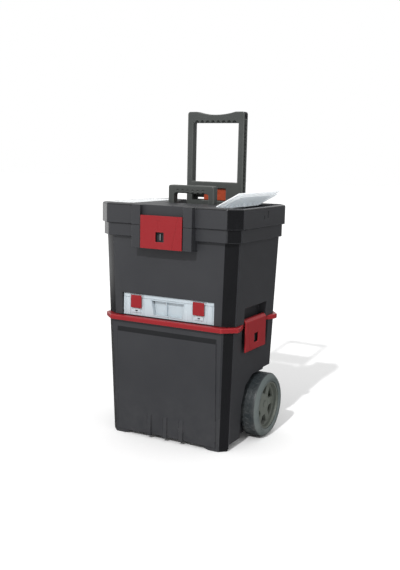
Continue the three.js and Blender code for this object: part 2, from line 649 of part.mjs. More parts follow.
function organizerLid() {
  const { halfX, y, z, wall, lidTop } = TRAY;
  const bottom = z[1] + GAP;
  const shell = cut(
    block([-halfX, halfX], y, [bottom, lidTop]),
    block([-halfX + wall, halfX - wall], [y[0] + wall, y[1] - wall], [0, lidTop - wall]),
  );
  const ear = (x0, x1) => both((side) => sideBlock(side, [x0, x1], [-136, y[0] + 1], [388.6, 394.4]));
  const ears = ear(CLIP.x[0] - 2.6, CLIP.x[0] - 0.4).add(ear(CLIP.x[1] + 0.4, CLIP.x[1] + 2.6));
  const bores = both((side) =>
    rodX(1.15, [side * (CLIP.x[0] - 4), side * (CLIP.x[1] + 4)], CLIP.pivotY, CLIP.pivotZ, 10),
  );
  return cut(shell.add(ears), bores);
}

function organizerDivider(x) {
  return block([x - 0.8, x + 0.8], [TRAY.y[0] + 14, TRAY.y[1] - 3], [TRAY.z[0] + 3, TRAY.z[1] - 2]);
}

function organizerLatch(side) {
  const { x, outer, z, pivotY, pivotZ, barrel } = CLIP;
  const plate = sideBlock(side, x, [outer, outer + 2.2], z);
  const lip = sideBlock(side, x, [outer, -133.8], [z[0] - 1.5, z[0] + 1]);
  const rod = rodX(barrel, [side * x[0], side * x[1]], pivotY, pivotZ, 12);
  return cut(join(plate, lip, rod), rodX(1.15, [-FAR, FAR], pivotY, pivotZ, 10));
}

function organizerLatchPin(side) {
  const ends = [side * (CLIP.x[0] - 2.4), side * (CLIP.x[1] + 2.4)];
  return rodX(0.9, ends, CLIP.pivotY, CLIP.pivotZ, 10);
}

// ---------- the object ----------
function piece(name, body, finish) {
  const { vertProperties, triVerts } = body.getMesh();
  const geometry = new THREE.BufferGeometry();
  geometry.setAttribute("position", new THREE.BufferAttribute(vertProperties, 3));
  geometry.setIndex(new THREE.BufferAttribute(triVerts, 1));
  geometry.computeVertexNormals();
  const mesh = new THREE.Mesh(geometry, new THREE.MeshStandardMaterial(finish));
  mesh.name = name;
  return mesh;
}

// A cover turned open about its hinge line.
function openCover(name, side, degrees) {
  const mesh = piece(name, cover(side).translate([-side * COVER.hinge, 0, -COVER.z]), CLEAR);
  mesh.rotation.y = -side * THREE.MathUtils.degToRad(degrees);
  mesh.position.set(side * COVER.hinge, 0, COVER.z);
  return mesh;
}

const toolBox = new THREE.Group();
toolBox.position.y = CENTRE_Y;

toolBox.add(
  piece("lower_bin", lowerBin(), BLACK),
  piece("bin_rim", binRim(), RED),
  piece("axle", axle(), STEEL),
  piece("trolley_frame", trolleyFrame(), OLIVE),
  piece("release_button", releaseButton(), ORANGE),
  piece("trolley_guide", trolleyGuide(), BLACK),
  piece("tool_box_body", toolBoxBody(), BLACK),
  piece("front_staple", frontStaple(), STEEL),
  piece("lid", lid(), BLACK),
  piece("front_latch", frontLatch(), RED),
  piece("front_latch_pin", frontLatchPin(), STEEL),
  piece("carry_handle", carryHandle(), OLIVE),
  piece("organizer_base", organizerBase(), CLEAR),
  piece("organizer_lid", organizerLid(), CLEAR),
  openCover("cover_right", 1, COVER.open),
  openCover("cover_left", -1, 0),
);

for (const [side, end] of [[1, "right"], [-1, "left"]]) {
  toolBox.add(
    piece(`tyre_${end}`, tyre(side), TYRE),
    piece(`hub_${end}`, hub(side), OLIVE),
    piece(`hub_cap_${end}`, hubCap(side), OLIVE),
    piece(`axle_washer_${end}`, axleWasher(side), STEEL),
    piece(`side_staple_${end}`, sideStaple(side), STEEL),
    piece(`side_latch_${end}`, sideLatch(side), RED),
    piece(`side_latch_pin_${end}`, sideLatchPin(side), STEEL),
    piece(`bezel_cheek_${end}`, bezelCheek(side), BLACK),
    piece(`lid_hinge_pin_${end}`, lidHingePin(side), STEEL),
    piece(`carry_handle_pin_${end}`, carryPin(side), STEEL),
    piece(`organizer_latch_${end}`, organizerLatch(side), RED),
    piece(`organizer_latch_pin_${end}`, organizerLatchPin(side), STEEL),
  );
}

[-70, 0, 70].forEach((x, i) => {
  toolBox.add(piece(`organizer_divider_${i + 1}`, organizerDivider(x), CLEAR));
});

export default toolBox;
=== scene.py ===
import json
import math

import bmesh
import bpy
from mathutils import Matrix, Vector


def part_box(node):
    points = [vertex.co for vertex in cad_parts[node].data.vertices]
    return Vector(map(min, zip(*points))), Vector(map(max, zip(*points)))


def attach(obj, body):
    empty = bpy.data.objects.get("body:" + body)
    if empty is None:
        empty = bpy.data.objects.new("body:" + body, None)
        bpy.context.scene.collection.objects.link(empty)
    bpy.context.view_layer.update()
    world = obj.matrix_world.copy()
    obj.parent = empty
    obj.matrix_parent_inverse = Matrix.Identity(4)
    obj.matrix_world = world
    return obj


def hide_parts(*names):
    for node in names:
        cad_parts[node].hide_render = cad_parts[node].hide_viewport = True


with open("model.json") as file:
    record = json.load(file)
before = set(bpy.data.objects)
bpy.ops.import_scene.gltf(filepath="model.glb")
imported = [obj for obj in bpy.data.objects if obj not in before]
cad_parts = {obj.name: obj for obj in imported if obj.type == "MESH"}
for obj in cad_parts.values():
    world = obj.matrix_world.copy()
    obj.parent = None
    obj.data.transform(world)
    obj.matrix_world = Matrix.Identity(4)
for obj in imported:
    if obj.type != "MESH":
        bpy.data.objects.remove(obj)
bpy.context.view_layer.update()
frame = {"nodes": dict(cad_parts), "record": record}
print("frame loaded:", len(frame["nodes"]), "nodes")

# shader effects that several finishes share


def addNode(tree, kind, values=None, **settings):
    node = tree.nodes.new(kind)
    for key, value in settings.items():
        setattr(node, key, value)
    for label, value in (values or {}).items():
        node.inputs[label].default_value = value
    return node


def wire(source, target):
    target.id_data.links.new(source, target)


def shaderGroup(name, inputs, outputs):
    tree = bpy.data.node_groups.new(name, "ShaderNodeTree")
    for label, kind, value in inputs:
        socket = tree.interface.new_socket(label, in_out="INPUT", socket_type=kind)
        socket.default_value = value
    for label, kind in outputs:
        tree.interface.new_socket(label, in_out="OUTPUT", socket_type=kind)
    return tree, addNode(tree, "NodeGroupInput"), addNode(tree, "NodeGroupOutput")


def mouldGrainGroup():
    tree, into, out = shaderGroup(
        "mouldGrain",
        [("Vector", "NodeSocketVector", (0, 0, 0)), ("Scale", "NodeSocketFloat", 900.0)],
        [("Height", "NodeSocketFloat")],
    )
    noise = addNode(tree, "ShaderNodeTexNoise", {"Detail": 2.0, "Roughness": 0.6})
    pits = addNode(tree, "ShaderNodeTexVoronoi")
    both = addNode(tree, "ShaderNodeMath", operation="MULTIPLY")
    for texture in (noise, pits):
        wire(into.outputs["Vector"], texture.inputs["Vector"])
        wire(into.outputs["Scale"], texture.inputs["Scale"])
    wire(noise.outputs["Fac"], both.inputs[0])
    wire(pits.outputs["Distance"], both.inputs[1])
    wire(both.outputs[0], out.inputs["Height"])
    return tree


def handlingGroup():
    # soft clouds and long fine scratches from use
    tree, into, out = shaderGroup(
        "handlingMarks",
        [
            ("Vector", "NodeSocketVector", (0, 0, 0)),
            ("Color", "NodeSocketColor", (0.5, 0.5, 0.5, 1)),
            ("Worn", "NodeSocketColor", (0.6, 0.6, 0.6, 1)),
            ("Clouds", "NodeSocketFloat", 0.3),
            ("Scratches", "NodeSocketFloat", 0.3),
        ],
        [("Color", "NodeSocketColor"), ("Rough", "NodeSocketFloat")],
    )
    clouds = addNode(tree, "ShaderNodeTexNoise", {"Scale": 7.0, "Detail": 4.0, "Roughness": 0.6})
    cloudMask = addNode(tree, "ShaderNodeMapRange", {"From Min": 0.4, "From Max": 0.75})
    cloudShare = addNode(tree, "ShaderNodeMath", operation="MULTIPLY")
    stretch = addNode(tree, "ShaderNodeMapping")
    stretch.inputs["Rotation"].default_value = (0.5, 0.3, 0.4)
    stretch.inputs["Scale"].default_value = (260.0, 260.0, 9.0)
    lines = addNode(tree, "ShaderNodeTexNoise", {"Scale": 1.0, "Detail": 2.0})
    lineMask = addNode(tree, "ShaderNodeMapRange", {"From Min": 0.66, "From Max": 0.74})
    lineShare = addNode(tree, "ShaderNodeMath", operation="MULTIPLY")
    total = addNode(tree, "ShaderNodeMath", operation="ADD", use_clamp=True)
    blend = addNode(tree, "ShaderNodeMix", data_type="RGBA")
    wire(into.outputs["Vector"], clouds.inputs["Vector"])
    wire(into.outputs["Vector"], stretch.inputs["Vector"])
    wire(stretch.outputs["Vector"], lines.inputs["Vector"])
    wire(clouds.outputs["Fac"], cloudMask.inputs["Value"])
    wire(cloudMask.outputs["Result"], cloudShare.inputs[0])
    wire(into.outputs["Clouds"], cloudShare.inputs[1])
    wire(lines.outputs["Fac"], lineMask.inputs["Value"])
    wire(lineMask.outputs["Result"], lineShare.inputs[0])
    wire(into.outputs["Scratches"], lineShare.inputs[1])
    wire(cloudShare.outputs[0], total.inputs[0])
    wire(lineShare.outputs[0], total.inputs[1])
    wire(total.outputs[0], blend.inputs["Factor"])
    wire(into.outputs["Color"], blend.inputs["A"])
    wire(into.outputs["Worn"], blend.inputs["B"])
    wire(blend.outputs["Result"], out.inputs["Color"])
    wire(total.outputs[0], out.inputs["Rough"])
    return tree


def floorDustGroup():
    # dust that thins out with height over the floor
    tree, into, out = shaderGroup(
        "floorDust",
        [
            ("Vector", "NodeSocketVector", (0, 0, 0)),
            ("Color", "NodeSocketColor", (0.5, 0.5, 0.5, 1)),
            ("Dust", "NodeSocketColor", (0.42, 0.4, 0.37, 1)),
            ("Top", "NodeSocketFloat", 0.12),
            ("Amount", "NodeSocketFloat", 0.2),
        ],
        [("Color", "NodeSocketColor")],
    )
    place = addNode(tree, "ShaderNodeSeparateXYZ")
    fade = addNode(tree, "ShaderNodeMapRange", {"From Min": 0.0, "To Min": 1.0, "To Max": 0.0})
    patches = addNode(tree, "ShaderNodeTexNoise", {"Scale": 38.0, "Detail": 5.0, "Roughness": 0.65})
    patchMask = addNode(tree, "ShaderNodeMapRange", {"From Min": 0.38, "From Max": 0.7})
    mask = addNode(tree, "ShaderNodeMath", operation="MULTIPLY")
    share = addNode(tree, "ShaderNodeMath", operation="MULTIPLY")
    blend = addNode(tree, "ShaderNodeMix", data_type="RGBA")
    wire(into.outputs["Vector"], place.inputs["Vector"])
    wire(place.outputs["Z"], fade.inputs["Value"])
    wire(into.outputs["Top"], fade.inputs["From Max"])
    wire(into.outputs["Vector"], patches.inputs["Vector"])
    wire(patches.outputs["Fac"], patchMask.inputs["Value"])
    wire(fade.outputs["Result"], mask.inputs[0])
    wire(patchMask.outputs["Result"], mask.inputs[1])
    wire(mask.outputs[0], share.inputs[0])
    wire(into.outputs["Amount"], share.inputs[1])
    wire(share.outputs[0], blend.inputs["Factor"])
    wire(into.outputs["Color"], blend.inputs["A"])
    wire(into.outputs["Dust"], blend.inputs["B"])
    wire(blend.outputs["Result"], out.inputs["Color"])
    return tree


mouldGrain = mouldGrainGroup()
handlingMarks = handlingGroup()
floorDust = floorDustGroup()

# finishes
# color, the colour where it is worn, roughness, grain (size per metre, depth in metres),
# clouds and scratches of use, gloss, and what else goes straight to the shader
finishes = {
    "blackPlastic": dict(color=(0.030, 0.031, 0.035), worn=(0.040, 0.041, 0.045), rough=0.5,
                         grain=(1100, 0.00014), clouds=0.35, scratches=0.15, gloss=0.42),
    # a darker copy of the black plastic, for painted shade
    "blackPaintedShade": dict(color=(0.011, 0.0115, 0.013), worn=(0.016, 0.017, 0.019), rough=0.5,
                       grain=(1100, 0.00012), clouds=0.35, scratches=0.15, gloss=0.3),
    "blackEdge": dict(color=(0.026, 0.027, 0.030), worn=(0.06, 0.061, 0.065), rough=0.26,
                      grain=(900, 0.00003), clouds=0.5, scratches=0.4, gloss=0.6),
    # glossier and much darker than the black plastic: the darkness is painted shade for dark reflections
    "blackGlossPaintedShade": dict(color=(0.0075, 0.0078, 0.0088), worn=(0.012, 0.012, 0.014), rough=0.2,
                          grain=(500, 0.00002), clouds=0.35, scratches=0.3, gloss=0.45),
    "redPlastic": dict(color=(0.245, 0.009, 0.013), worn=(0.28, 0.018, 0.022), rough=0.42,
                       grain=(900, 0.00008), clouds=0.35, scratches=0.2, gloss=0.3),
    # lighter than the red plastic, on the round edge strips: painted highlight, with more edge wear
    "redEdgeHighlight": dict(color=(0.29, 0.018, 0.022), worn=(0.36, 0.06, 0.062), rough=0.3,
                    grain=(900, 0.00003), clouds=0.4, scratches=0.3, gloss=0.35),
    "orangePlastic": dict(color=(0.36, 0.050, 0.016), worn=(0.42, 0.09, 0.04), rough=0.42,
                          grain=(900, 0.00006), clouds=0.35, scratches=0.25, gloss=0.3),
    "handlePlastic": dict(color=(0.047, 0.052, 0.049), worn=(0.085, 0.091, 0.086), rough=0.5,
                          grain=(950, 0.00014), clouds=0.4, scratches=0.2, gloss=0.4),
    # lighter than the handle plastic, on the round edge strips: painted highlight, with more edge wear
    "handleEdgeHighlight": dict(color=(0.075, 0.081, 0.076), worn=(0.12, 0.126, 0.12), rough=0.36,
                       grain=(950, 0.00004), clouds=0.4, scratches=0.3, gloss=0.4),
    "hubPlastic": dict(color=(0.125, 0.138, 0.12), worn=(0.12, 0.132, 0.114), rough=0.44,
                       grain=(800, 0.0001), clouds=0.4, scratches=0.25, gloss=0.4),
    "tyreRubber": dict(color=(0.088, 0.106, 0.104), worn=(0.125, 0.145, 0.142), rough=0.6,
                       grain=(700, 0.00018), clouds=0.5, scratches=0.3, gloss=0.3),
    "treadRubber": dict(color=(0.024, 0.030, 0.033), worn=(0.055, 0.066, 0.069), rough=0.42,
                        grain=(700, 0.00014), clouds=0.5, scratches=0.3, gloss=0.45),
    # near black, for painted shade in the trolley's side channels and the catches' slots
    "slotPaintedShade": dict(color=(0.006, 0.0063, 0.0068), worn=(0.012, 0.012, 0.013), rough=0.5,
                     grain=(900, 0.0001), clouds=0.3, scratches=0.1, gloss=0.3),
    "catchGrey": dict(color=(0.42, 0.44, 0.45), worn=(0.5, 0.51, 0.52), rough=0.4,
                      grain=(900, 0.00005), clouds=0.3, scratches=0.2),
    "steel": dict(color=(0.30, 0.31, 0.32), worn=(0.22, 0.22, 0.23), rough=0.34,
                  grain=(1200, 0.00003), clouds=0.5, scratches=0.5, shader={"Metallic": 1.0}),
    "clearPlastic": dict(color=(0.62, 0.70, 0.75), worn=(0.74, 0.79, 0.83), rough=0.24,
                         grain=(500, 0.00004), clouds=0.4, scratches=0.3,
                         shader={"Transmission Weight": 0.3, "IOR": 1.46}),
    # a little emission stands in for the daylight that comes through the thin milky sheet
    "coverPlastic": dict(color=(0.88, 0.92, 0.945), worn=(0.93, 0.95, 0.96), rough=0.16,
                         grain=(500, 0.00003), clouds=0.3, scratches=0.3,
                         shader={"Transmission Weight": 0.1, "IOR": 1.46, "Subsurface Weight": 0.9,
                                 "Subsurface Radius": (1.0, 1.0, 1.0), "Subsurface Scale": 0.01,
                                 "Emission Color": (0.86, 0.94, 1.0, 1), "Emission Strength": 0.12}),
}
dustTop = 0.16  # dust reaches this high over the floor
roughSpread = (-0.04, 0.16)  # how far marks and wear shift the roughness
dustAmount = {
    "tyreRubber": 0.12,
    "treadRubber": 0.2,
    "hubPlastic": 0.12,
    "blackPlastic": 0.03,
    "blackEdge": 0.03,
}


def makeFinish(name, color, worn, rough, grain, clouds, scratches, gloss=0.5, shader=None):
    material = bpy.data.materials.new(name)
    material.use_nodes = True
    tree = material.node_tree
    tree.nodes.clear()
    out = addNode(tree, "ShaderNodeOutputMaterial")
    surface = addNode(tree, "ShaderNodeBsdfPrincipled", {"Specular IOR Level": gloss, **(shader or {})})
    place = addNode(tree, "ShaderNodeTexCoord").outputs["Object"]
    marks = addNode(tree, "ShaderNodeGroup", node_tree=handlingMarks)
    dust = addNode(tree, "ShaderNodeGroup", node_tree=floorDust)
    texture = addNode(tree, "ShaderNodeGroup", node_tree=mouldGrain)
    for group in (marks, dust, texture):
        wire(place, group.inputs["Vector"])
    marks.inputs["Color"].default_value = (*color, 1)
    marks.inputs["Worn"].default_value = (*worn, 1)
    marks.inputs["Clouds"].default_value = clouds
    marks.inputs["Scratches"].default_value = scratches
    dust.inputs["Top"].default_value = dustTop
    dust.inputs["Amount"].default_value = dustAmount.get(name, 0.0)
    texture.inputs["Scale"].default_value = grain[0]
    wire(marks.outputs["Color"], dust.inputs["Color"])
    wire(dust.outputs["Color"], surface.inputs["Base Color"])
    smoothest, roughest = (rough + shift for shift in roughSpread)
    roughness = addNode(tree, "ShaderNodeMapRange", {"To Min": smoothest, "To Max": roughest})
    wire(marks.outputs["Rough"], roughness.inputs["Value"])
    wire(roughness.outputs["Result"], surface.inputs["Roughness"])
    bump = addNode(tree, "ShaderNodeBump", {"Strength": 1.0, "Distance": grain[1]})
    wire(texture.outputs["Height"], bump.inputs["Height"])
    wire(bump.outputs["Normal"], surface.inputs["Normal"])
    wire(surface.outputs["BSDF"], out.inputs["Surface"])
    return material


materials = {name: makeFinish(name, **values) for name, values in finishes.items()}
print("finishes made:", len(materials))

# shapes


def newObject(name, made):
    mesh = bpy.data.meshes.new(name)
    made.to_mesh(mesh)
    made.free()
    piece = bpy.data.objects.new(name, mesh)
    bpy.context.scene.collection.objects.link(piece)
    return piece


def dropObject(piece):
    mesh = piece.data
    bpy.data.objects.remove(piece)
    bpy.data.meshes.remove(mesh)


def bakeModifiers(piece):
    bpy.context.view_layer.update()
    view = bpy.context.evaluated_depsgraph_get()
    mesh = bpy.data.meshes.new_from_object(
        piece.evaluated_get(view), preserve_all_data_layers=True, depsgraph=view
    )
    piece.modifiers.clear()
    old = piece.data
    piece.data = mesh
    bpy.data.meshes.remove(old)


def slab(made, low, high):
    middle = [(a + b) / 2 for a, b in zip(low, high)]
    size = [abs(b - a) for a, b in zip(low, high)]
    bmesh.ops.create_cube(made, size=1, matrix=Matrix.Translation(middle) @ Matrix.Diagonal((*size, 1)))


def ball(made, centre, radii, segments=20):
    place = Matrix.Translation(centre) @ Matrix.Diagonal((*radii, 1))
    bmesh.ops.create_uvsphere(made, u_segments=segments, v_segments=segments // 2, radius=1, matrix=place)


# an outline pushed along one axis; its points are the other two coordinates, in X Y Z order
def prism(made, outline, axis, start, end):
    def point(pair, along):
        place = list(pair)
        place.insert(axis, along)
        return made.verts.new(place)

    rings = [[point(pair, along) for pair in outline] for along in (start, end)]
    faces = [made.faces.new(rings[0]), made.faces.new(rings[1])]
    count = len(outline)
    for i in range(count):
        j = (i + 1) % count
        faces.append(made.faces.new((rings[0][i], rings[0][j], rings[1][j], rings[1][i])))
    bmesh.ops.recalc_face_normals(made, faces=faces)


# a closed outline of (radius, x) turned about a line along X
def lathe(made, outline, y, z, segments):
    rings = []
    for i in range(segments):
        turn = 2 * math.pi * i / segments
        up, along = math.sin(turn), math.cos(turn)
        rings.append([made.verts.new((x, y + r * along, z + r * up)) for r, x in outline])
    count = len(outline)
    faces = []
    for i in range(segments):
        here, there = rings[i], rings[(i + 1) % segments]
        for j in range(count):
            k = (j + 1) % count
            faces.append(made.faces.new((here[j], here[k], there[k], there[j])))
    bmesh.ops.remove_doubles(made, verts=made.verts, dist=1e-6)
    bmesh.ops.recalc_face_normals(made, faces=made.faces)


def roundCorners(outline, radius, steps=4):
    made = []
    count = len(outline)
    for i, corner in enumerate(outline):
        here = Vector(corner)
        before = Vector(outline[i - 1]) - here
        after = Vector(outline[(i + 1) % count]) - here
        reach = min(radius, before.length * 0.45, after.length * 0.45)
        start = here + before.normalized() * reach
        end = here + after.normalized() * reach
        for k in range(steps + 1):
            t = k / steps
            made.append(tuple((1 - t) ** 2 * start + 2 * t * (1 - t) * here + t * t * end))
    return made


sides = ((1, "Right"), (-1, "Left"))
mergeReach = 4e-6  # points closer than this are one
flatAngle = math.radians(1.0)  # faces flatter to each other than this become one
sharpAngle = math.radians(34)  # edges sharper than this are rounded
cutAngle = math.radians(38)  # edges sharper than this stay sharp after a cut
roomShare = 0.42  # share of a face's width that a rounding may take
weakShare = 0.5  # share of the full width for edges that aren't picked


def cadCopy(name, node):
    made = bmesh.new()
    made.from_mesh(frame["nodes"][node].data)
    bmesh.ops.remove_doubles(made, verts=made.verts, dist=mergeReach)
    bmesh.ops.dissolve_degenerate(made, edges=made.edges, dist=mergeReach)
    bmesh.ops.dissolve_limit(made, angle_limit=flatAngle, verts=made.verts, edges=made.edges)
    return newObject(name, made)


def cutAway(piece, made):
    tool = newObject("tool", made)
    modifier = piece.modifiers.new("cut", "BOOLEAN")
    modifier.operation = "DIFFERENCE"
    modifier.solver = "EXACT"
    modifier.use_self = True
    modifier.object = tool
    bakeModifiers(piece)
    dropObject(tool)


def addTo(piece, made):
    whole = bmesh.new()
    whole.from_mesh(piece.data)
    extra = bpy.data.meshes.new("extra")
    made.to_mesh(extra)
    made.free()
    whole.from_mesh(extra)
    bpy.data.meshes.remove(extra)
    whole.to_mesh(piece.data)
    whole.free()


def isSharp(edge):
    return len(edge.link_faces) == 2 and edge.calc_face_angle(0) > sharpAngle


def direction(edge):
    return (edge.verts[1].co - edge.verts[0].co).normalized()


# how far the faces beside an edge let its rounding reach
def edgeRoom(edge):
    along = direction(edge)
    room = [1.0]
    for face in edge.link_faces:
        for other in face.edges:
            if other is edge or not isSharp(other) or not set(edge.verts) & set(other.verts):
                continue
            across = (other.verts[1].co - other.verts[0].co).cross(along).length
            if across > 0.5 * other.calc_length():
                room.append(across)
    return min(room)


# edges that run on into each other get the narrowest width among them, so a curve is rounded evenly
def evenChains(reach):
    again = True
    while again:
        again = False
        for edge, width in list(reach.items()):
            for vert in edge.verts:
                for other in vert.link_edges:
                    goesOn = other in reach and abs(direction(edge).dot(direction(other))) > 0.8
                    if goesOn and reach[other] > width + 1e-6:
                        reach[other] = width
                        again = True


# rounds the sharp edges, each as much as the faces beside it leave room for; the round strips get
# finish 1, sort() picks a face's finish, and edges that strong() doesn't pick are rounded less
def soften(piece, width, segments=2, sort=None, strong=None):
    made = bmesh.new()
    made.from_mesh(piece.data)
    bmesh.ops.dissolve_limit(made, angle_limit=flatAngle, verts=made.verts, edges=made.edges)
    notched = [face for face in made.faces if not all(corner.is_convex for corner in face.loops)]
    bmesh.ops.triangulate(made, faces=notched)
    weight = made.edges.layers.float.new("bevel_weight_edge")
    reach = {}
    for edge in made.edges:
        if isSharp(edge):
            share = 1.0 if strong is None or strong(edge) else weakShare
            reach[edge] = min(share * width, roomShare * edgeRoom(edge))
    evenChains(reach)
    for edge, own in reach.items():
        edge[weight] = own / width
    for face in made.faces:
        face.smooth = True
        face.material_index = sort(face) if sort else 0
    made.to_mesh(piece.data)
    made.free()
    bevel = piece.modifiers.new("round", "BEVEL")
    bevel.limit_method = "WEIGHT"
    bevel.width = width
    bevel.segments = segments
    bevel.use_clamp_overlap = False
    bevel.loop_slide = False
    bevel.material = 1
    for _ in range(4):
        piece.data.materials.append(None)
    normals = piece.modifiers.new("flat", "WEIGHTED_NORMAL")
    normals.keep_sharp = True
    bakeModifiers(piece)


# smooth faces and sharp edges again, after a cut into a piece that is already softened
def reshade(piece):
    made = bmesh.new()
    made.from_mesh(piece.data)
    for face in made.faces:
        face.smooth = True
    for edge in made.edges:
        edge.smooth = edge.calc_face_angle(0) < cutAngle
    made.to_mesh(piece.data)
    made.free()
    normals = piece.modifiers.new("flat", "WEIGHTED_NORMAL")
    normals.keep_sharp = True
    bakeModifiers(piece)


# the names are the finishes of the slots: the faces, the round strips, and what sort() picked
def paint(piece, *names):
    last = len(names) - 1
    for face in piece.data.polygons:
        face.material_index = min(face.material_index, last)
    for index, name in enumerate(names):
        piece.data.materials[index] = materials[name]
    while len(piece.data.materials) > len(names):
        piece.data.materials.pop()


def settle(piece, body, slot, *nodes):
    if nodes:
        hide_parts(*nodes)
    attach(piece, body)


# rounds, colours and hands over a piece; finishes are those of its faces and its round strips
def finishPiece(piece, edge, finishes, body, slot, *nodes):
    soften(piece, edge)
    paint(piece, *finishes)
    settle(piece, body, slot, *nodes)


redPair = ("redPlastic", "redEdgeHighlight")
clearPair = ("clearPlastic", "clearPlastic")
coverPair = ("coverPlastic", "coverPlastic")


# upright faces set across the corners of the mouldings are glossier and darker, finish 2; the darker colour
# is painted shade standing for dark reflections
def cornerFaces(face):
    nx, ny, nz = (abs(a) for a in face.normal)
    across = 0.35 < nx < 0.93 and 0.3 < ny < 0.95
    large = face.calc_area() > 4e-4  # square metres
    return 2 if nz < 0.3 and across and large else 0


# the upright edges beside those faces have the widest rounding
def cornerEdges(edge):
    upright = abs(direction(edge).z) > 0.8
    return upright and any(cornerFaces(face) for face in edge.link_faces)


# one tree for all rows and rings of equal parts


def repeatTree():
    tree = bpy.data.node_groups.new("repeatPart", "GeometryNodeTree")
    for label, kind in [
        ("Geometry", "NodeSocketGeometry"),
        ("Part", "NodeSocketObject"),
        ("Count", "NodeSocketInt"),
        ("Start", "NodeSocketVector"),
        ("Step", "NodeSocketVector"),
        ("Turn", "NodeSocketFloat"),
        ("Centre", "NodeSocketVector"),
        ("Finish", "NodeSocketMaterial"),
    ]:
        tree.interface.new_socket(label, in_out="INPUT", socket_type=kind)
    tree.interface.new_socket("Geometry", in_out="OUTPUT", socket_type="NodeSocketGeometry")
    into = addNode(tree, "NodeGroupInput")
    out = addNode(tree, "NodeGroupOutput")
    line = addNode(tree, "GeometryNodeMeshLine")
    part = addNode(tree, "GeometryNodeObjectInfo")
    index = addNode(tree, "GeometryNodeInputIndex")
    angle = addNode(tree, "ShaderNodeMath", operation="MULTIPLY")
    turn = addNode(tree, "ShaderNodeCombineXYZ")
    place = addNode(tree, "GeometryNodeInstanceOnPoints")
    shift = addNode(tree, "GeometryNodeTransform")
    real = addNode(tree, "GeometryNodeRealizeInstances")
    finish = addNode(tree, "GeometryNodeSetMaterial")
    wire(into.outputs["Count"], line.inputs["Count"])
    wire(into.outputs["Start"], line.inputs["Start Location"])
    wire(into.outputs["Step"], line.inputs["Offset"])
    wire(into.outputs["Part"], part.inputs["Object"])
    wire(index.outputs["Index"], angle.inputs[0])
    wire(into.outputs["Turn"], angle.inputs[1])
    wire(angle.outputs[0], turn.inputs["X"])
    wire(line.outputs["Mesh"], place.inputs["Points"])
    wire(part.outputs["Geometry"], place.inputs["Instance"])
    wire(turn.outputs["Vector"], place.inputs["Rotation"])
    wire(place.outputs["Instances"], shift.inputs["Geometry"])
    wire(into.outputs["Centre"], shift.inputs["Translation"])
    wire(shift.outputs["Geometry"], real.inputs["Geometry"])
    wire(real.outputs["Geometry"], finish.inputs["Geometry"])
    wire(into.outputs["Finish"], finish.inputs["Material"])
    wire(finish.outputs["Geometry"], out.inputs["Geometry"])
    return tree


repeatPart = repeatTree()


def repeat(name, part, finish, count, start=(0, 0, 0), step=(0, 0, 0), turn=0.0, centre=(0, 0, 0)):
    piece = newObject(name, bmesh.new())
    modifier = piece.modifiers.new("repeat", "NODES")
    modifier.node_group = repeatPart
    values = {"Part": part, "Count": count, "Start": start, "Step": step, "Turn": turn, "Centre": centre,
              "Finish": materials[finish]}
    for item in repeatPart.interface.items_tree:
        if item.in_out == "INPUT" and item.name in values:
            modifier[item.identifier] = values[item.name]
    bakeModifiers(piece)
    dropObject(part)
    return piece


# lower bin
binLook = {
    "edge": 0.0028,  # rounding of the mouldings' edges
    "rimEdge": 0.0022,
    "guideEdge": 0.001,
    "shadeBand": (0.292, 0.309),  # heights of the band of painted shade under the rim, at the head of the front panel
    "backWall": 0.108,
    "backRibs": 9,
    "backRibSpan": 0.30,  # from the first rib to the last
    "backRibThickness": 0.003,
    "backRibDepth": 0.009,
    "screwRadius": 0.0045,
    "screwAside": 0.104,
    "screwPitch": 0.026,
}

lowerBin = cadCopy("lowerBin", "lower_bin")


# the band at the head of the front panel, in shade under the rim, gets a darker colour as painted shade,
# finish 3
def binFaces(face):
    middle = face.calc_center_median()
    front = face.normal.y < -0.9 and middle.y < -0.12
    bandLow, bandHigh = binLook["shadeBand"]
    return 3 if front and bandLow < middle.z < bandHigh else cornerFaces(face)


soften(lowerBin, binLook["edge"], 3, binFaces, cornerEdges)
paint(lowerBin, "blackPlastic", "blackEdge", "blackGlossPaintedShade", "blackPaintedShade")
settle(lowerBin, "bin", "black_plastic", "lower_bin")

binRim = cadCopy("binRim", "bin_rim")
soften(binRim, binLook["rimEdge"], 3)
paint(binRim, "redPlastic", "redEdgeHighlight")
settle(binRim, "bin", "red_plastic", "bin_rim")

# stiffening ribs up the bin's lower back wall
ribMade = bmesh.new()
half = binLook["backRibThickness"] / 2
ribRoot = binLook["backWall"] - 0.001
ribCrest = binLook["backWall"] + binLook["backRibDepth"]
ribOutline = [(ribRoot, 0.03), (ribCrest, 0.042), (ribCrest, 0.176), (ribRoot, 0.187)]
prism(ribMade, ribOutline, 0, -half, half)
ribPart = newObject("ribPart", ribMade)
ribSpan = binLook["backRibSpan"]
ribPitch = ribSpan / (binLook["backRibs"] - 1)
backRibs = repeat("backRibs", ribPart, "blackPlastic", binLook["backRibs"], start=(-ribSpan / 2, 0, 0),
                  step=(ribPitch, 0, 0))
settle(backRibs, "bin", "black_plastic")

guide = cadCopy("trolleyGuide", "trolley_guide")
soften(guide, binLook["guideEdge"])
paint(guide, "blackPlastic", "blackEdge")
settle(guide, "bin", "black_plastic", "trolley_guide")

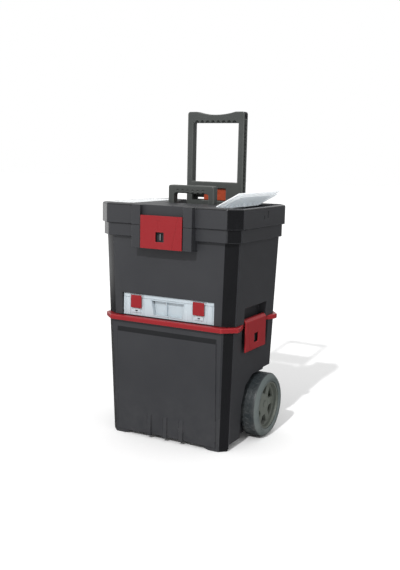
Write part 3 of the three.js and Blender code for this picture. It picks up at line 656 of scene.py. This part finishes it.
# two screws with cross slots at each end of the guide bar
guideLow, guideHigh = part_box("trolley_guide")
for side, word in sides:
    screwMade = bmesh.new()
    screwRadius = binLook["screwRadius"]
    bmesh.ops.create_cone(
        screwMade, cap_ends=True, segments=20, radius1=screwRadius, radius2=screwRadius * 0.75,
        depth=0.0018, matrix=Matrix.Rotation(-math.pi / 2, 4, "X"))
    screwPart = newObject("screwPart", screwMade)
    cross = bmesh.new()
    for turned in (False, True):
        wide, thin = (0.0006, 0.003) if turned else (0.003, 0.0006)
        slab(cross, (-wide, 0.0002, -thin), (wide, 0.002, thin))
    cutAway(screwPart, cross)
    firstScrew = (side * binLook["screwAside"], guideHigh.y + 0.0008, guideLow.z + 0.009)
    screws = repeat("guideScrews" + word, screwPart, "steel", 2, start=firstScrew,
                    step=(0, 0, binLook["screwPitch"]))
    settle(screws, "bin", "steel")
print("bin done")

# wheels
wheelLook = {
    "segments": 96,
    "tyreSeat": 0.066,
    "hubRadius": 0.0657,
    "hubLip": 0.005,  # width of the ring round the hub's face
    "tread": 0.0013,  # how far the tread blocks stand up
    "blocks": 34,
    "blockShare": 0.36,  # half a block's length over the blocks' pitch
    "blockSkew": 0.0022,
    "rows": [(0.1745, 0.1855), (0.1875, 0.1985), (0.2005, 0.2105)],  # distances from the middle
    "windows": 6,
    "windowCorner": 0.0045,
    "windowCut": (0.186, 0.212),
    "capFoot": 0.2058,
    "tyreEdge": 0.0004,
    "blockEdge": 0.0006,
    "hubEdge": 0.0009,
    "capEdge": 0.0003,
}
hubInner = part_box("hub_right")[0].x
tyreLow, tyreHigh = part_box("tyre_right")
wheelY = (tyreLow.y + tyreHigh.y) / 2
wheelZ = (tyreLow.z + tyreHigh.z) / 2
wheelRadius = (tyreHigh.z - tyreLow.z) / 2
tyreInner, tyreOuter = tyreLow.x, tyreHigh.x


def tyreOutline(side):
    crown = wheelRadius - wheelLook["tread"]
    seat = wheelLook["tyreSeat"]
    outline = [
        (seat, tyreInner + 0.003), (seat + 0.003, tyreInner), (crown - 0.006, tyreInner),
        (crown - 0.0015, tyreInner + 0.0015), (crown, tyreInner + 0.005),
        (crown, tyreOuter - 0.013), (crown - 0.0012, tyreOuter - 0.009), (crown - 0.005, tyreOuter - 0.0045),
        (crown - 0.0085, tyreOuter - 0.0016), (crown - 0.0115, tyreOuter - 0.001), (crown - 0.012, tyreOuter),
        (seat + 0.0065, tyreOuter), (seat + 0.006, tyreOuter - 0.0012), (seat + 0.002, tyreOuter - 0.002),
        (seat, tyreOuter - 0.004),
    ]
    return [(r, side * x) for r, x in outline]


def hubOutline(side):
    outer = wheelLook["hubRadius"]
    lip = outer - wheelLook["hubLip"]
    outline = [
        (0.0064, hubInner), (0.017, hubInner), (0.017, 0.1935), (lip, 0.1965), (lip, 0.174), (outer, 0.174),
        (outer, 0.2165), (outer - 0.001, 0.2172), (lip + 0.001, 0.2172), (lip, 0.2162), (lip, 0.2050),
        (lip - 0.004, 0.2034), (0.036, 0.2040), (0.0265, 0.2056), (0.0245, 0.2060), (0.0064, 0.2060),
    ]
    return [(r, side * x) for r, x in outline]


def hubWindow(middle):
    def at(radius, turn):
        return (wheelY + radius * math.cos(middle + turn), wheelZ + radius * math.sin(middle + turn))

    corners = [at(0.031, -0.2), at(0.0555, -0.34), at(0.0575, 0), at(0.0555, 0.34), at(0.031, 0.2)]
    return roundCorners(corners, wheelLook["windowCorner"])


# the tyre's running face has the tread's finish
def treadFaces(face):
    return 2 if abs(face.normal.x) < 0.6 else 0


for side, word in sides:
    end = word.lower()
    body = "wheel_" + end
    made = bmesh.new()
    lathe(made, tyreOutline(side), wheelY, wheelZ, wheelLook["segments"])
    tyre = newObject("tyre" + word, made)
    soften(tyre, wheelLook["tyreEdge"], 1, treadFaces)
    paint(tyre, "tyreRubber", "tyreRubber", "treadRubber")
    settle(tyre, body, "tyre_rubber", "tyre_" + end)

    for row, (x0, x1) in enumerate(wheelLook["rows"]):
        blockMade = bmesh.new()
        pitch = 2 * math.pi / wheelLook["blocks"]
        reach = pitch * wheelRadius * wheelLook["blockShare"]
        skew = wheelLook["blockSkew"] if row != 1 else -wheelLook["blockSkew"]
        foot = wheelRadius - wheelLook["tread"] - 0.0008
        top = wheelRadius - 0.0001 - reach * reach / (2 * wheelRadius)
        block = [(side * x0, -reach - skew), (side * x1, -reach + skew), (side * x1, reach + skew),
                 (side * x0, reach - skew)]
        prism(blockMade, block, 2, foot, top)
        blockPart = newObject("blockPart", blockMade)
        soften(blockPart, wheelLook["blockEdge"], 1)
        tread = repeat(f"tread{word}{row + 1}", blockPart, "treadRubber", wheelLook["blocks"],
                       turn=pitch, centre=(0, wheelY, wheelZ))
        settle(tread, body, "tyre_rubber")

    made = bmesh.new()
    lathe(made, hubOutline(side), wheelY, wheelZ, wheelLook["segments"])
    hub = newObject("hub" + word, made)
    made = bmesh.new()
    cutFrom, cutTo = wheelLook["windowCut"]
    for i in range(wheelLook["windows"]):
        middle = (i + 0.5) * 2 * math.pi / wheelLook["windows"]
        prism(made, hubWindow(middle), 0, side * cutFrom, side * cutTo)
    cutAway(hub, made)
    soften(hub, wheelLook["hubEdge"])
    paint(hub, "hubPlastic", "hubPlastic")
    settle(hub, body, "hub_plastic", "hub_" + end)

    made = bmesh.new()
    foot = side * wheelLook["capFoot"]
    dome = [(0.0, foot), (0.0092, foot), (0.0096, foot + side * 0.0006), (0.0092, foot + side * 0.0020),
            (0.0066, foot + side * 0.0031), (0.0035, foot + side * 0.0035), (0.0, foot + side * 0.0036)]
    lathe(made, dome, wheelY, wheelZ, 48)
    cap = newObject("hubCap" + word, made)
    soften(cap, wheelLook["capEdge"], 1)
    paint(cap, "hubPlastic", "hubPlastic")
    settle(cap, body, "hub_plastic", "hub_cap_" + end)
print("wheels done")

# tool box and lid
boxLook = {
    "edge": 0.0026,
    "lidEdge": 0.0026,
    "cheekRoot": 0.002,  # how far the cheeks beside the latch run into the body
    "browFrom": 0.634,  # the lid's rounded brow starts at this height
}

toolBoxBody = cadCopy("toolBoxBody", "tool_box_body")
made = bmesh.new()
for end in ("right", "left"):
    cheekLow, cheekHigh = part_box("bezel_cheek_" + end)
    slab(made, cheekLow, cheekHigh + Vector((0, boxLook["cheekRoot"], 0)))
addTo(toolBoxBody, made)
soften(toolBoxBody, boxLook["edge"], 3, cornerFaces, cornerEdges)
paint(toolBoxBody, "blackPlastic", "blackEdge", "blackGlossPaintedShade")
settle(toolBoxBody, "tool_box", "black_plastic", "tool_box_body", "bezel_cheek_right", "bezel_cheek_left")


# the lid's rounded brow is glossier and darker like its corners; the darker colour is painted shade standing
# for dark reflections
def lidFaces(face):
    brow = 0.2 < face.normal.z < 0.98 and face.calc_center_median().z > boxLook["browFrom"]
    return 2 if brow else cornerFaces(face)


lid = cadCopy("lid", "lid")
soften(lid, boxLook["lidEdge"], 3, lidFaces, cornerEdges)
paint(lid, "blackPlastic", "blackEdge", "blackGlossPaintedShade")
settle(lid, "lid", "black_plastic", "lid")
print("tool box done")

# latches
latchLook = {
    "edge": 0.0011,
    "panel": (0.018, 0.028),
    "panelMiddle": -0.002,
    "panelDrop": 0.011,  # from the latch's top to the panel's
    "panelDepth": 0.0006,
}

frontLatch = cadCopy("frontLatch", "front_latch")
latchLow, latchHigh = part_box("front_latch")
made = bmesh.new()
panelWidth, panelHeight = latchLook["panel"]
panelMiddle = latchLook["panelMiddle"]
panelTop = latchHigh.z - latchLook["panelDrop"]
slab(made, (panelMiddle - panelWidth / 2, latchLow.y - 0.002, panelTop - panelHeight),
     (panelMiddle + panelWidth / 2, latchLow.y + latchLook["panelDepth"], panelTop))
cutAway(frontLatch, made)
finishPiece(frontLatch, latchLook["edge"], redPair, "front_latch", "red_plastic", "front_latch")

for side, word in sides:
    end = word.lower()
    body = "side_latch_" + end
    latch = cadCopy("sideLatch" + word, body)
    finishPiece(latch, latchLook["edge"], redPair, body, "red_plastic", body)
print("latches done")

# carry handle
carryLook = {
    "edge": 0.0026,
    "grip": 0.022,  # height of the grip bar
    "dimples": 6,
    "pitch": 0.0158,
    "aside": -0.0015,
    "height": 0.0075,  # of the dimples over the grip's underside
    "size": (0.0045, 0.0018, 0.0032),
    "fingers": (0.0055, 0.005, 0.0035),
}

carryHandle = cadCopy("carryHandle", "carry_handle")
carryLow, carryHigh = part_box("carry_handle")
gripBottom = carryHigh.z - carryLook["grip"]
soften(carryHandle, carryLook["edge"], 3)
made = bmesh.new()
firstDimple = -carryLook["pitch"] * (carryLook["dimples"] - 1) / 2 + carryLook["aside"]
for i in range(carryLook["dimples"]):
    x = firstDimple + i * carryLook["pitch"]
    for face in (carryLow.y, carryHigh.y):
        ball(made, (x, face, gripBottom + carryLook["height"]), carryLook["size"])
        ball(made, (x, face, gripBottom), carryLook["fingers"])
cutAway(carryHandle, made)
reshade(carryHandle)
paint(carryHandle, "handlePlastic", "handleEdgeHighlight")
settle(carryHandle, "carry_handle", "handle_plastic", "carry_handle")

# trolley handle
trolleyLook = {
    "edge": 0.0022,
    "scallops": 8,
    "scallopPitch": 0.017,
    "scallopSize": (0.0062, 0.0085, 0.0068),
    "windowTop": 0.860,
    "channelRibs": 19,
    "channelRibFoot": 0.66,
    "channelRibIn": (0.0052, 0.0012),  # how far in from the frame's side the ribs reach
    "channelRibMargin": 0.0058,
    "channelRibHalf": 0.001,
    "channelRibPitch": 0.0108,
    "channelDepth": 0.0075,
    "recess": ((-0.071, 0.6425), (-0.035, 0.6585)),  # x and z of two corners
    "slit": ((-0.064, 0.6445), (-0.038, 0.6490)),
    "buttonEdge": 0.0018,
    "buttonDish": (0.030, 0.0075, 0.014),
}
trolleyLow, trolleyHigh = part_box("trolley_frame")
trolley = cadCopy("trolleyFrame", "trolley_frame")


# the frame's outer sides and their channels, in shade, get near-black painted shade, finish 2
def channelFaces(face):
    outer = abs(face.calc_center_median().x) > trolleyHigh.x - trolleyLook["channelDepth"] - 0.001
    sideways = abs(face.normal.z) < 0.9 and abs(face.normal.y) < 0.5
    return 2 if outer and sideways else 0


soften(trolley, trolleyLook["edge"], 3, channelFaces)
made = bmesh.new()
for i in range(trolleyLook["scallops"]):
    x = (i - (trolleyLook["scallops"] - 1) / 2) * trolleyLook["scallopPitch"]
    ball(made, (x, trolleyLow.y - 0.001, trolleyLook["windowTop"] + 0.0005), trolleyLook["scallopSize"])
(recessX0, recessZ0), (recessX1, recessZ1) = trolleyLook["recess"]
slab(made, (recessX0, trolleyLow.y - 0.01, recessZ0), (recessX1, trolleyHigh.y - 0.003, recessZ1))
(slitX0, slitZ0), (slitX1, slitZ1) = trolleyLook["slit"]
slab(made, (slitX0, trolleyHigh.y - 0.01, slitZ0), (slitX1, trolleyHigh.y + 0.01, slitZ1))
cutAway(trolley, made)
reshade(trolley)
paint(trolley, "handlePlastic", "handleEdgeHighlight", "slotPaintedShade")
settle(trolley, "trolley", "handle_plastic", "trolley_frame")

# short ribs across the channels in the outer sides, in the same near-black painted shade
for side, word in sides:
    channelMade = bmesh.new()
    x0, x1 = sorted(side * (trolleyHigh.x - inwards) for inwards in trolleyLook["channelRibIn"])
    margin = trolleyLook["channelRibMargin"]
    half = trolleyLook["channelRibHalf"]
    slab(channelMade, (x0, trolleyLow.y + margin, -half), (x1, trolleyHigh.y - margin, half))
    channelPart = newObject("channelPart", channelMade)
    ribs = repeat("channelRibs" + word, channelPart, "slotPaintedShade", trolleyLook["channelRibs"],
                  start=(0, 0, trolleyLook["channelRibFoot"]), step=(0, 0, trolleyLook["channelRibPitch"]))
    settle(ribs, "trolley", "handle_plastic")

button = cadCopy("releaseButton", "release_button")
buttonLow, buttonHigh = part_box("release_button")
made = bmesh.new()
buttonMiddle = (buttonLow + buttonHigh) / 2
ball(made, (buttonMiddle.x, buttonLow.y - 0.006, buttonMiddle.z), trolleyLook["buttonDish"], 32)
soften(button, trolleyLook["buttonEdge"], 3)
cutAway(button, made)
reshade(button)
paint(button, "orangePlastic", "orangePlastic")
settle(button, "button", "orange_plastic", "release_button")
print("handles done")

# well covers
coverLook = {
    "edge": 0.0006,
    "hinge": (0.1275, 0.638),  # x and z
    "open": 29.0,  # the right one, in degrees
    "ribs": 8,
    "ribDepth": 0.0045,
    "ribHalf": 0.0008,  # half a rib's thickness
    "ribReach": (0.1345, 0.1965),
    "ribRoot": 0.6373,
    "underside": 0.6375,
    "skirt": (-0.1065, 0.1335),  # y of the skirt's ends
    "hookAside": 0.153,
    "hookHalf": 0.001,
    "hookBarb": 0.0028,
    "hookDepth": (-0.001, 0.006),
    "hookEdge": 0.0003,
}
hingeAside, hingeHeight = coverLook["hinge"]

for side, word in sides:
    end = word.lower()
    angle = math.radians(coverLook["open"]) if side > 0 else 0.0
    hinge = Vector((side * hingeAside, 0, hingeHeight))
    swing = Matrix.Translation(hinge) @ Matrix.Rotation(-side * angle, 4, "Y") @ Matrix.Translation(-hinge)
    body = "cover_" + end
    cover = cadCopy("cover" + word, body)
    finishPiece(cover, coverLook["edge"], coverPair, body, "clear_plastic", body)

    # cross ribs under the cover
    ribMade = bmesh.new()
    x0, x1 = sorted(side * reach for reach in coverLook["ribReach"])
    half = coverLook["ribHalf"]
    ribFoot = coverLook["ribRoot"] - coverLook["ribDepth"]
    slab(ribMade, (x0, -half, ribFoot), (x1, half, coverLook["underside"]))
    ribPart = newObject("ribPart", ribMade)
    skirtFront, skirtBack = coverLook["skirt"]
    ribPitch = (skirtBack - skirtFront) / (coverLook["ribs"] + 1)
    ribs = repeat("coverRibs" + word, ribPart, "coverPlastic", coverLook["ribs"],
                  start=(0, skirtFront + ribPitch, 0), step=(0, ribPitch, 0))
    ribs.data.transform(swing)
    settle(ribs, body, "clear_plastic")

    # a snap hook under the cover
    hookMade = bmesh.new()
    x = side * coverLook["hookAside"]
    half = side * coverLook["hookHalf"]
    barb = side * coverLook["hookBarb"]
    hookOutline = [(x - half, coverLook["underside"]), (x + half, coverLook["underside"]), (x + half, 0.626),
                   (x + barb, 0.6245), (x + half, 0.6225), (x - half, 0.6225)]
    prism(hookMade, hookOutline, 1, *coverLook["hookDepth"])
    hook = newObject("coverHook" + word, hookMade)
    hook.data.transform(swing)
    finishPiece(hook, coverLook["hookEdge"], coverPair, body, "clear_plastic")
print("covers done")

# organizer
organizerLook = {
    "edge": 0.0009,
    "baseEdge": 0.0003,
    "thinEdge": 0.0004,
    "latchEdge": 0.0007,
    "catchEdge": 0.0006,
    "slotEdge": 0.0003,
    "catchHalf": 0.0115,
    "catchHeights": (0.3475, 0.3570),
    "slotHalf": 0.004,
    "slotHeights": (0.3488, 0.3528),
    "barHalf": 0.001,  # half the width of the bars beside the latches
    "border": 0.0022,  # width of the finger recess's raised border
    "proud": 0.0012,
    "liner": 0.001,  # thickness of the linings on the recess's side walls
    "recessHeights": (0.345, 0.383),
    "recessHalves": (0.043, 0.050),  # half the recess's width at its foot and at its head
    "bars": 0.0026,
    "barHeights": (0.3395, 0.3855),
    "barSpan": 0.267,
    "latchBars": (0.0745, 0.0435),  # from the middle to the first, then on to the second
}
trayFront = -0.123
barLow, barHigh = organizerLook["barHeights"]

organizerPieces = [
    ("organizerBase", "organizer_base", organizerLook["baseEdge"]),
    ("organizerLid", "organizer_lid", organizerLook["edge"]),
]
for number in (1, 2, 3):
    node = f"organizer_divider_{number}"
    organizerPieces.append((f"organizerDivider{number}", node, organizerLook["thinEdge"]))
for name, node, edge in organizerPieces:
    finishPiece(cadCopy(name, node), edge, clearPair, "organizer", "clear_plastic", node)

# the finger recess's raised border, with a rib down its middle
made = bmesh.new()
border = organizerLook["border"]
low, high = organizerLook["recessHeights"]
foot, head = organizerLook["recessHalves"]
proud = organizerLook["proud"]
liner = organizerLook["liner"]
for side in (1, -1):
    prism(made, [(side * foot, low), (side * (foot + border), low), (side * (head + border), high),
                 (side * head, high)], 1, trayFront - proud, trayFront + 0.001)
slab(made, (-foot - border, trayFront - proud, low - border), (foot + border, trayFront + 0.001, low))
slab(made, (-head - border, trayFront - proud, high), (head + border, trayFront + 0.001, high + 0.0015))
slab(made, (-0.0062, trayFront + 0.003, low), (-0.0042, trayFront + 0.0105, high))
for side in (1, -1):
    lining = [(side * foot, low), (side * head, high), (side * (head - liner), high),
              (side * (foot - liner), low)]
    prism(made, lining, 1, trayFront + 0.0011, trayFront + 0.0105)
recessFrame = newObject("recessFrame", made)
finishPiece(recessFrame, organizerLook["thinEdge"], clearPair, "organizer", "clear_plastic")

# upright bars near the tray's ends, and beside each latch
barMade = bmesh.new()
half = organizerLook["bars"] / 2
slab(barMade, (-half, trayFront - 0.0014, barLow), (half, trayFront, barHigh))
barPart = newObject("barPart", barMade)
soften(barPart, organizerLook["thinEdge"])
barSpan = organizerLook["barSpan"]
bars = repeat("trayBars", barPart, "clearPlastic", 2, start=(-barSpan / 2, 0, 0), step=(barSpan, 0, 0))
settle(bars, "organizer", "clear_plastic")
for side, word in sides:
    barMade = bmesh.new()
    half = organizerLook["barHalf"]
    slab(barMade, (-half, trayFront - 0.0012, barLow), (half, trayFront, barHigh))
    barPart = newObject("barPart", barMade)
    soften(barPart, organizerLook["thinEdge"])
    firstBar, nextBar = (side * reach for reach in organizerLook["latchBars"])
    bars = repeat("latchBars" + word, barPart, "clearPlastic", 2, start=(firstBar, 0, 0),
                  step=(nextBar, 0, 0))
    settle(bars, "organizer", "clear_plastic")

for side, word in sides:
    end = word.lower()
    body = "organizer_latch_" + end
    latch = cadCopy("organizerLatch" + word, body)
    finishPiece(latch, organizerLook["latchEdge"], redPair, body, "red_plastic", body)

    # the grey catch under the latch, with a dark patch of painted shade where its slot is
    latchLow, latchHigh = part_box(body)
    middle = (latchLow.x + latchHigh.x) / 2
    made = bmesh.new()
    half = organizerLook["catchHalf"]
    low, high = organizerLook["catchHeights"]
    slab(made, (middle - half, trayFront - 0.0022, low), (middle + half, trayFront + 0.001, high))
    catch = newObject("latchCatch" + word, made)
    catchPair = ("catchGrey", "catchGrey")
    finishPiece(catch, organizerLook["catchEdge"], catchPair, "organizer", "clear_plastic")

    # a near-black slab in front of the catch: painted shade for the slot
    made = bmesh.new()
    half = organizerLook["slotHalf"]
    low, high = organizerLook["slotHeights"]
    slab(made, (middle - half, trayFront - 0.0026, low), (middle + half, trayFront + 0.001, high))
    slot = newObject("catchSlot" + word, made)
    slotShadePair = ("slotPaintedShade", "slotPaintedShade")
    finishPiece(slot, organizerLook["slotEdge"], slotShadePair, "organizer", "black_plastic")
print("organizer done")

# CAD nodes that are shown as they are
slotFinish = {"steel": "steel", "black_plastic": "blackPlastic", "clear_plastic": "clearPlastic"}
nodeSlots = {part["node"]: part["material_slot"] for part in frame["record"]["subparts"]}
for name, node in frame["nodes"].items():
    if node.hide_render:
        continue
    node.data.materials.clear()
    node.data.materials.append(materials[slotFinish[nodeSlots[name]]])

# floor, light and camera
stageLook = {
    "floorSize": 40.0,
    "floorColor": (0.98, 0.98, 0.98, 1),
    "floorInGloss": (0.10, 0.10, 0.10, 1),
    "glossDarkFrom": (-2.6, -1.9),  # left of this the floor is bright in reflections too
    "keyAim": (-0.12, 1.15, -0.95),
    "keyStrength": 1.9,
    "keyAngle": 1.6,
    "worldBright": 0.84,
    "worldDark": 0.03,
    "darkSide": (0.97, 0.05, 0.0),
    "darkReach": (-0.1, 0.8),  # how far round from the dark side the dark reaches
    "darkTop": (0.1, 0.6),  # and how high
}

made = bmesh.new()
bmesh.ops.create_grid(made, x_segments=1, y_segments=1, size=stageLook["floorSize"] / 2)
floor = newObject("floor", made)
floorPaint = bpy.data.materials.new("paleFloor")
floorPaint.use_nodes = True
floorTree = floorPaint.node_tree
floorShader = floorTree.nodes["Principled BSDF"]
floorShader.inputs["Base Color"].default_value = stageLook["floorColor"]
floorShader.inputs["Roughness"].default_value = 0.9
floorShader.inputs["Specular IOR Level"].default_value = 0.1
# black shells stay black because glossy rays find a darker floor
inGloss = addNode(floorTree, "ShaderNodeBsdfDiffuse", {"Color": stageLook["floorInGloss"]})
floorPath = addNode(floorTree, "ShaderNodeLightPath")
floorSpot = addNode(floorTree, "ShaderNodeTexCoord")
floorAxes = addNode(floorTree, "ShaderNodeSeparateXYZ")
glossFrom, glossTo = stageLook["glossDarkFrom"]
floorNear = addNode(floorTree, "ShaderNodeMapRange", {"From Min": glossFrom, "From Max": glossTo})
floorMask = addNode(floorTree, "ShaderNodeMath", operation="MULTIPLY")
wire(floorSpot.outputs["Object"], floorAxes.inputs["Vector"])
wire(floorAxes.outputs["X"], floorNear.inputs["Value"])
wire(floorNear.outputs["Result"], floorMask.inputs[0])
wire(floorPath.outputs["Is Glossy Ray"], floorMask.inputs[1])
floorChoice = addNode(floorTree, "ShaderNodeMixShader")
floorOut = floorTree.nodes["Material Output"]
wire(floorMask.outputs[0], floorChoice.inputs["Fac"])
wire(floorShader.outputs["BSDF"], floorChoice.inputs[1])
wire(inGloss.outputs["BSDF"], floorChoice.inputs[2])
wire(floorChoice.outputs["Shader"], floorOut.inputs["Surface"])
floor.data.materials.append(floorPaint)


def sun(name, aim, strength, angle):
    light = bpy.data.lights.new(name, "SUN")
    light.energy = strength
    light.angle = math.radians(angle)
    lamp = bpy.data.objects.new(name, light)
    lamp.rotation_mode = "QUATERNION"
    lamp.rotation_quaternion = Vector(aim).to_track_quat("-Z", "Y")
    bpy.context.scene.collection.objects.link(lamp)


sun("keyLight", stageLook["keyAim"], stageLook["keyStrength"], stageLook["keyAngle"])

world = bpy.data.worlds.new("studio")
bpy.context.scene.world = world
world.use_nodes = True
tree = world.node_tree
tree.nodes.clear()
out = addNode(tree, "ShaderNodeOutputWorld")
skyPlace = addNode(tree, "ShaderNodeTexCoord")
toDark = addNode(tree, "ShaderNodeVectorMath", operation="DOT_PRODUCT")
toDark.inputs[1].default_value = Vector(stageLook["darkSide"]).normalized()
darkFrom, darkTo = stageLook["darkReach"]
around = addNode(tree, "ShaderNodeMapRange", {"From Min": darkFrom, "From Max": darkTo},
                 interpolation_type="SMOOTHSTEP")
height = addNode(tree, "ShaderNodeSeparateXYZ")
lowTo, highTo = stageLook["darkTop"]
below = addNode(tree, "ShaderNodeMapRange",
                {"From Min": lowTo, "From Max": highTo, "To Min": 1.0, "To Max": 0.0},
                interpolation_type="SMOOTHSTEP")
shade = addNode(tree, "ShaderNodeMath", operation="MULTIPLY")
shadeInGloss = addNode(tree, "ShaderNodeMath", operation="MULTIPLY")
ramp = addNode(tree, "ShaderNodeMapRange",
               {"To Min": stageLook["worldBright"], "To Max": stageLook["worldDark"]})
soft = addNode(tree, "ShaderNodeBackground")
white = addNode(tree, "ShaderNodeBackground")
choice = addNode(tree, "ShaderNodeMixShader")
path = addNode(tree, "ShaderNodeLightPath")
wire(skyPlace.outputs["Generated"], toDark.inputs[0])
wire(toDark.outputs["Value"], around.inputs["Value"])
wire(skyPlace.outputs["Generated"], height.inputs["Vector"])
wire(height.outputs["Z"], below.inputs["Value"])
wire(around.outputs["Result"], shade.inputs[0])
wire(below.outputs["Result"], shade.inputs[1])
wire(shade.outputs[0], shadeInGloss.inputs[0])
wire(path.outputs["Is Glossy Ray"], shadeInGloss.inputs[1])
wire(shadeInGloss.outputs[0], ramp.inputs["Value"])
wire(ramp.outputs["Result"], soft.inputs["Strength"])
white.inputs["Color"].default_value = (1, 1, 1, 1)
soft.inputs["Color"].default_value = (1, 1, 1, 1)
wire(path.outputs["Is Camera Ray"], choice.inputs["Fac"])
wire(soft.outputs["Background"], choice.inputs[1])
wire(white.outputs["Background"], choice.inputs[2])
wire(choice.outputs["Shader"], out.inputs["Surface"])
bpy.context.scene.view_settings.view_transform = "Standard"

cameraLook = {
    "place": (1.0962, -1.9386, 0.7698),
    "turn": 28.84,
    "tilt": 9.07,
    "roll": 1.24,
    "lens": 51.42,
    "sensor": 36.0,
}
cameraData = bpy.data.cameras.new("camera")
cameraData.lens = cameraLook["lens"]
cameraData.sensor_width = cameraLook["sensor"]
camera = bpy.data.objects.new("camera", cameraData)
bpy.context.scene.collection.objects.link(camera)
camera.matrix_world = (
    Matrix.Translation(cameraLook["place"])
    @ Matrix.Rotation(math.radians(cameraLook["turn"]), 4, "Z")
    @ Matrix.Rotation(math.radians(90 - cameraLook["tilt"]), 4, "X")
    @ Matrix.Rotation(math.radians(cameraLook["roll"]), 4, "Z")
)
bpy.context.scene.camera = camera
print("stage done")
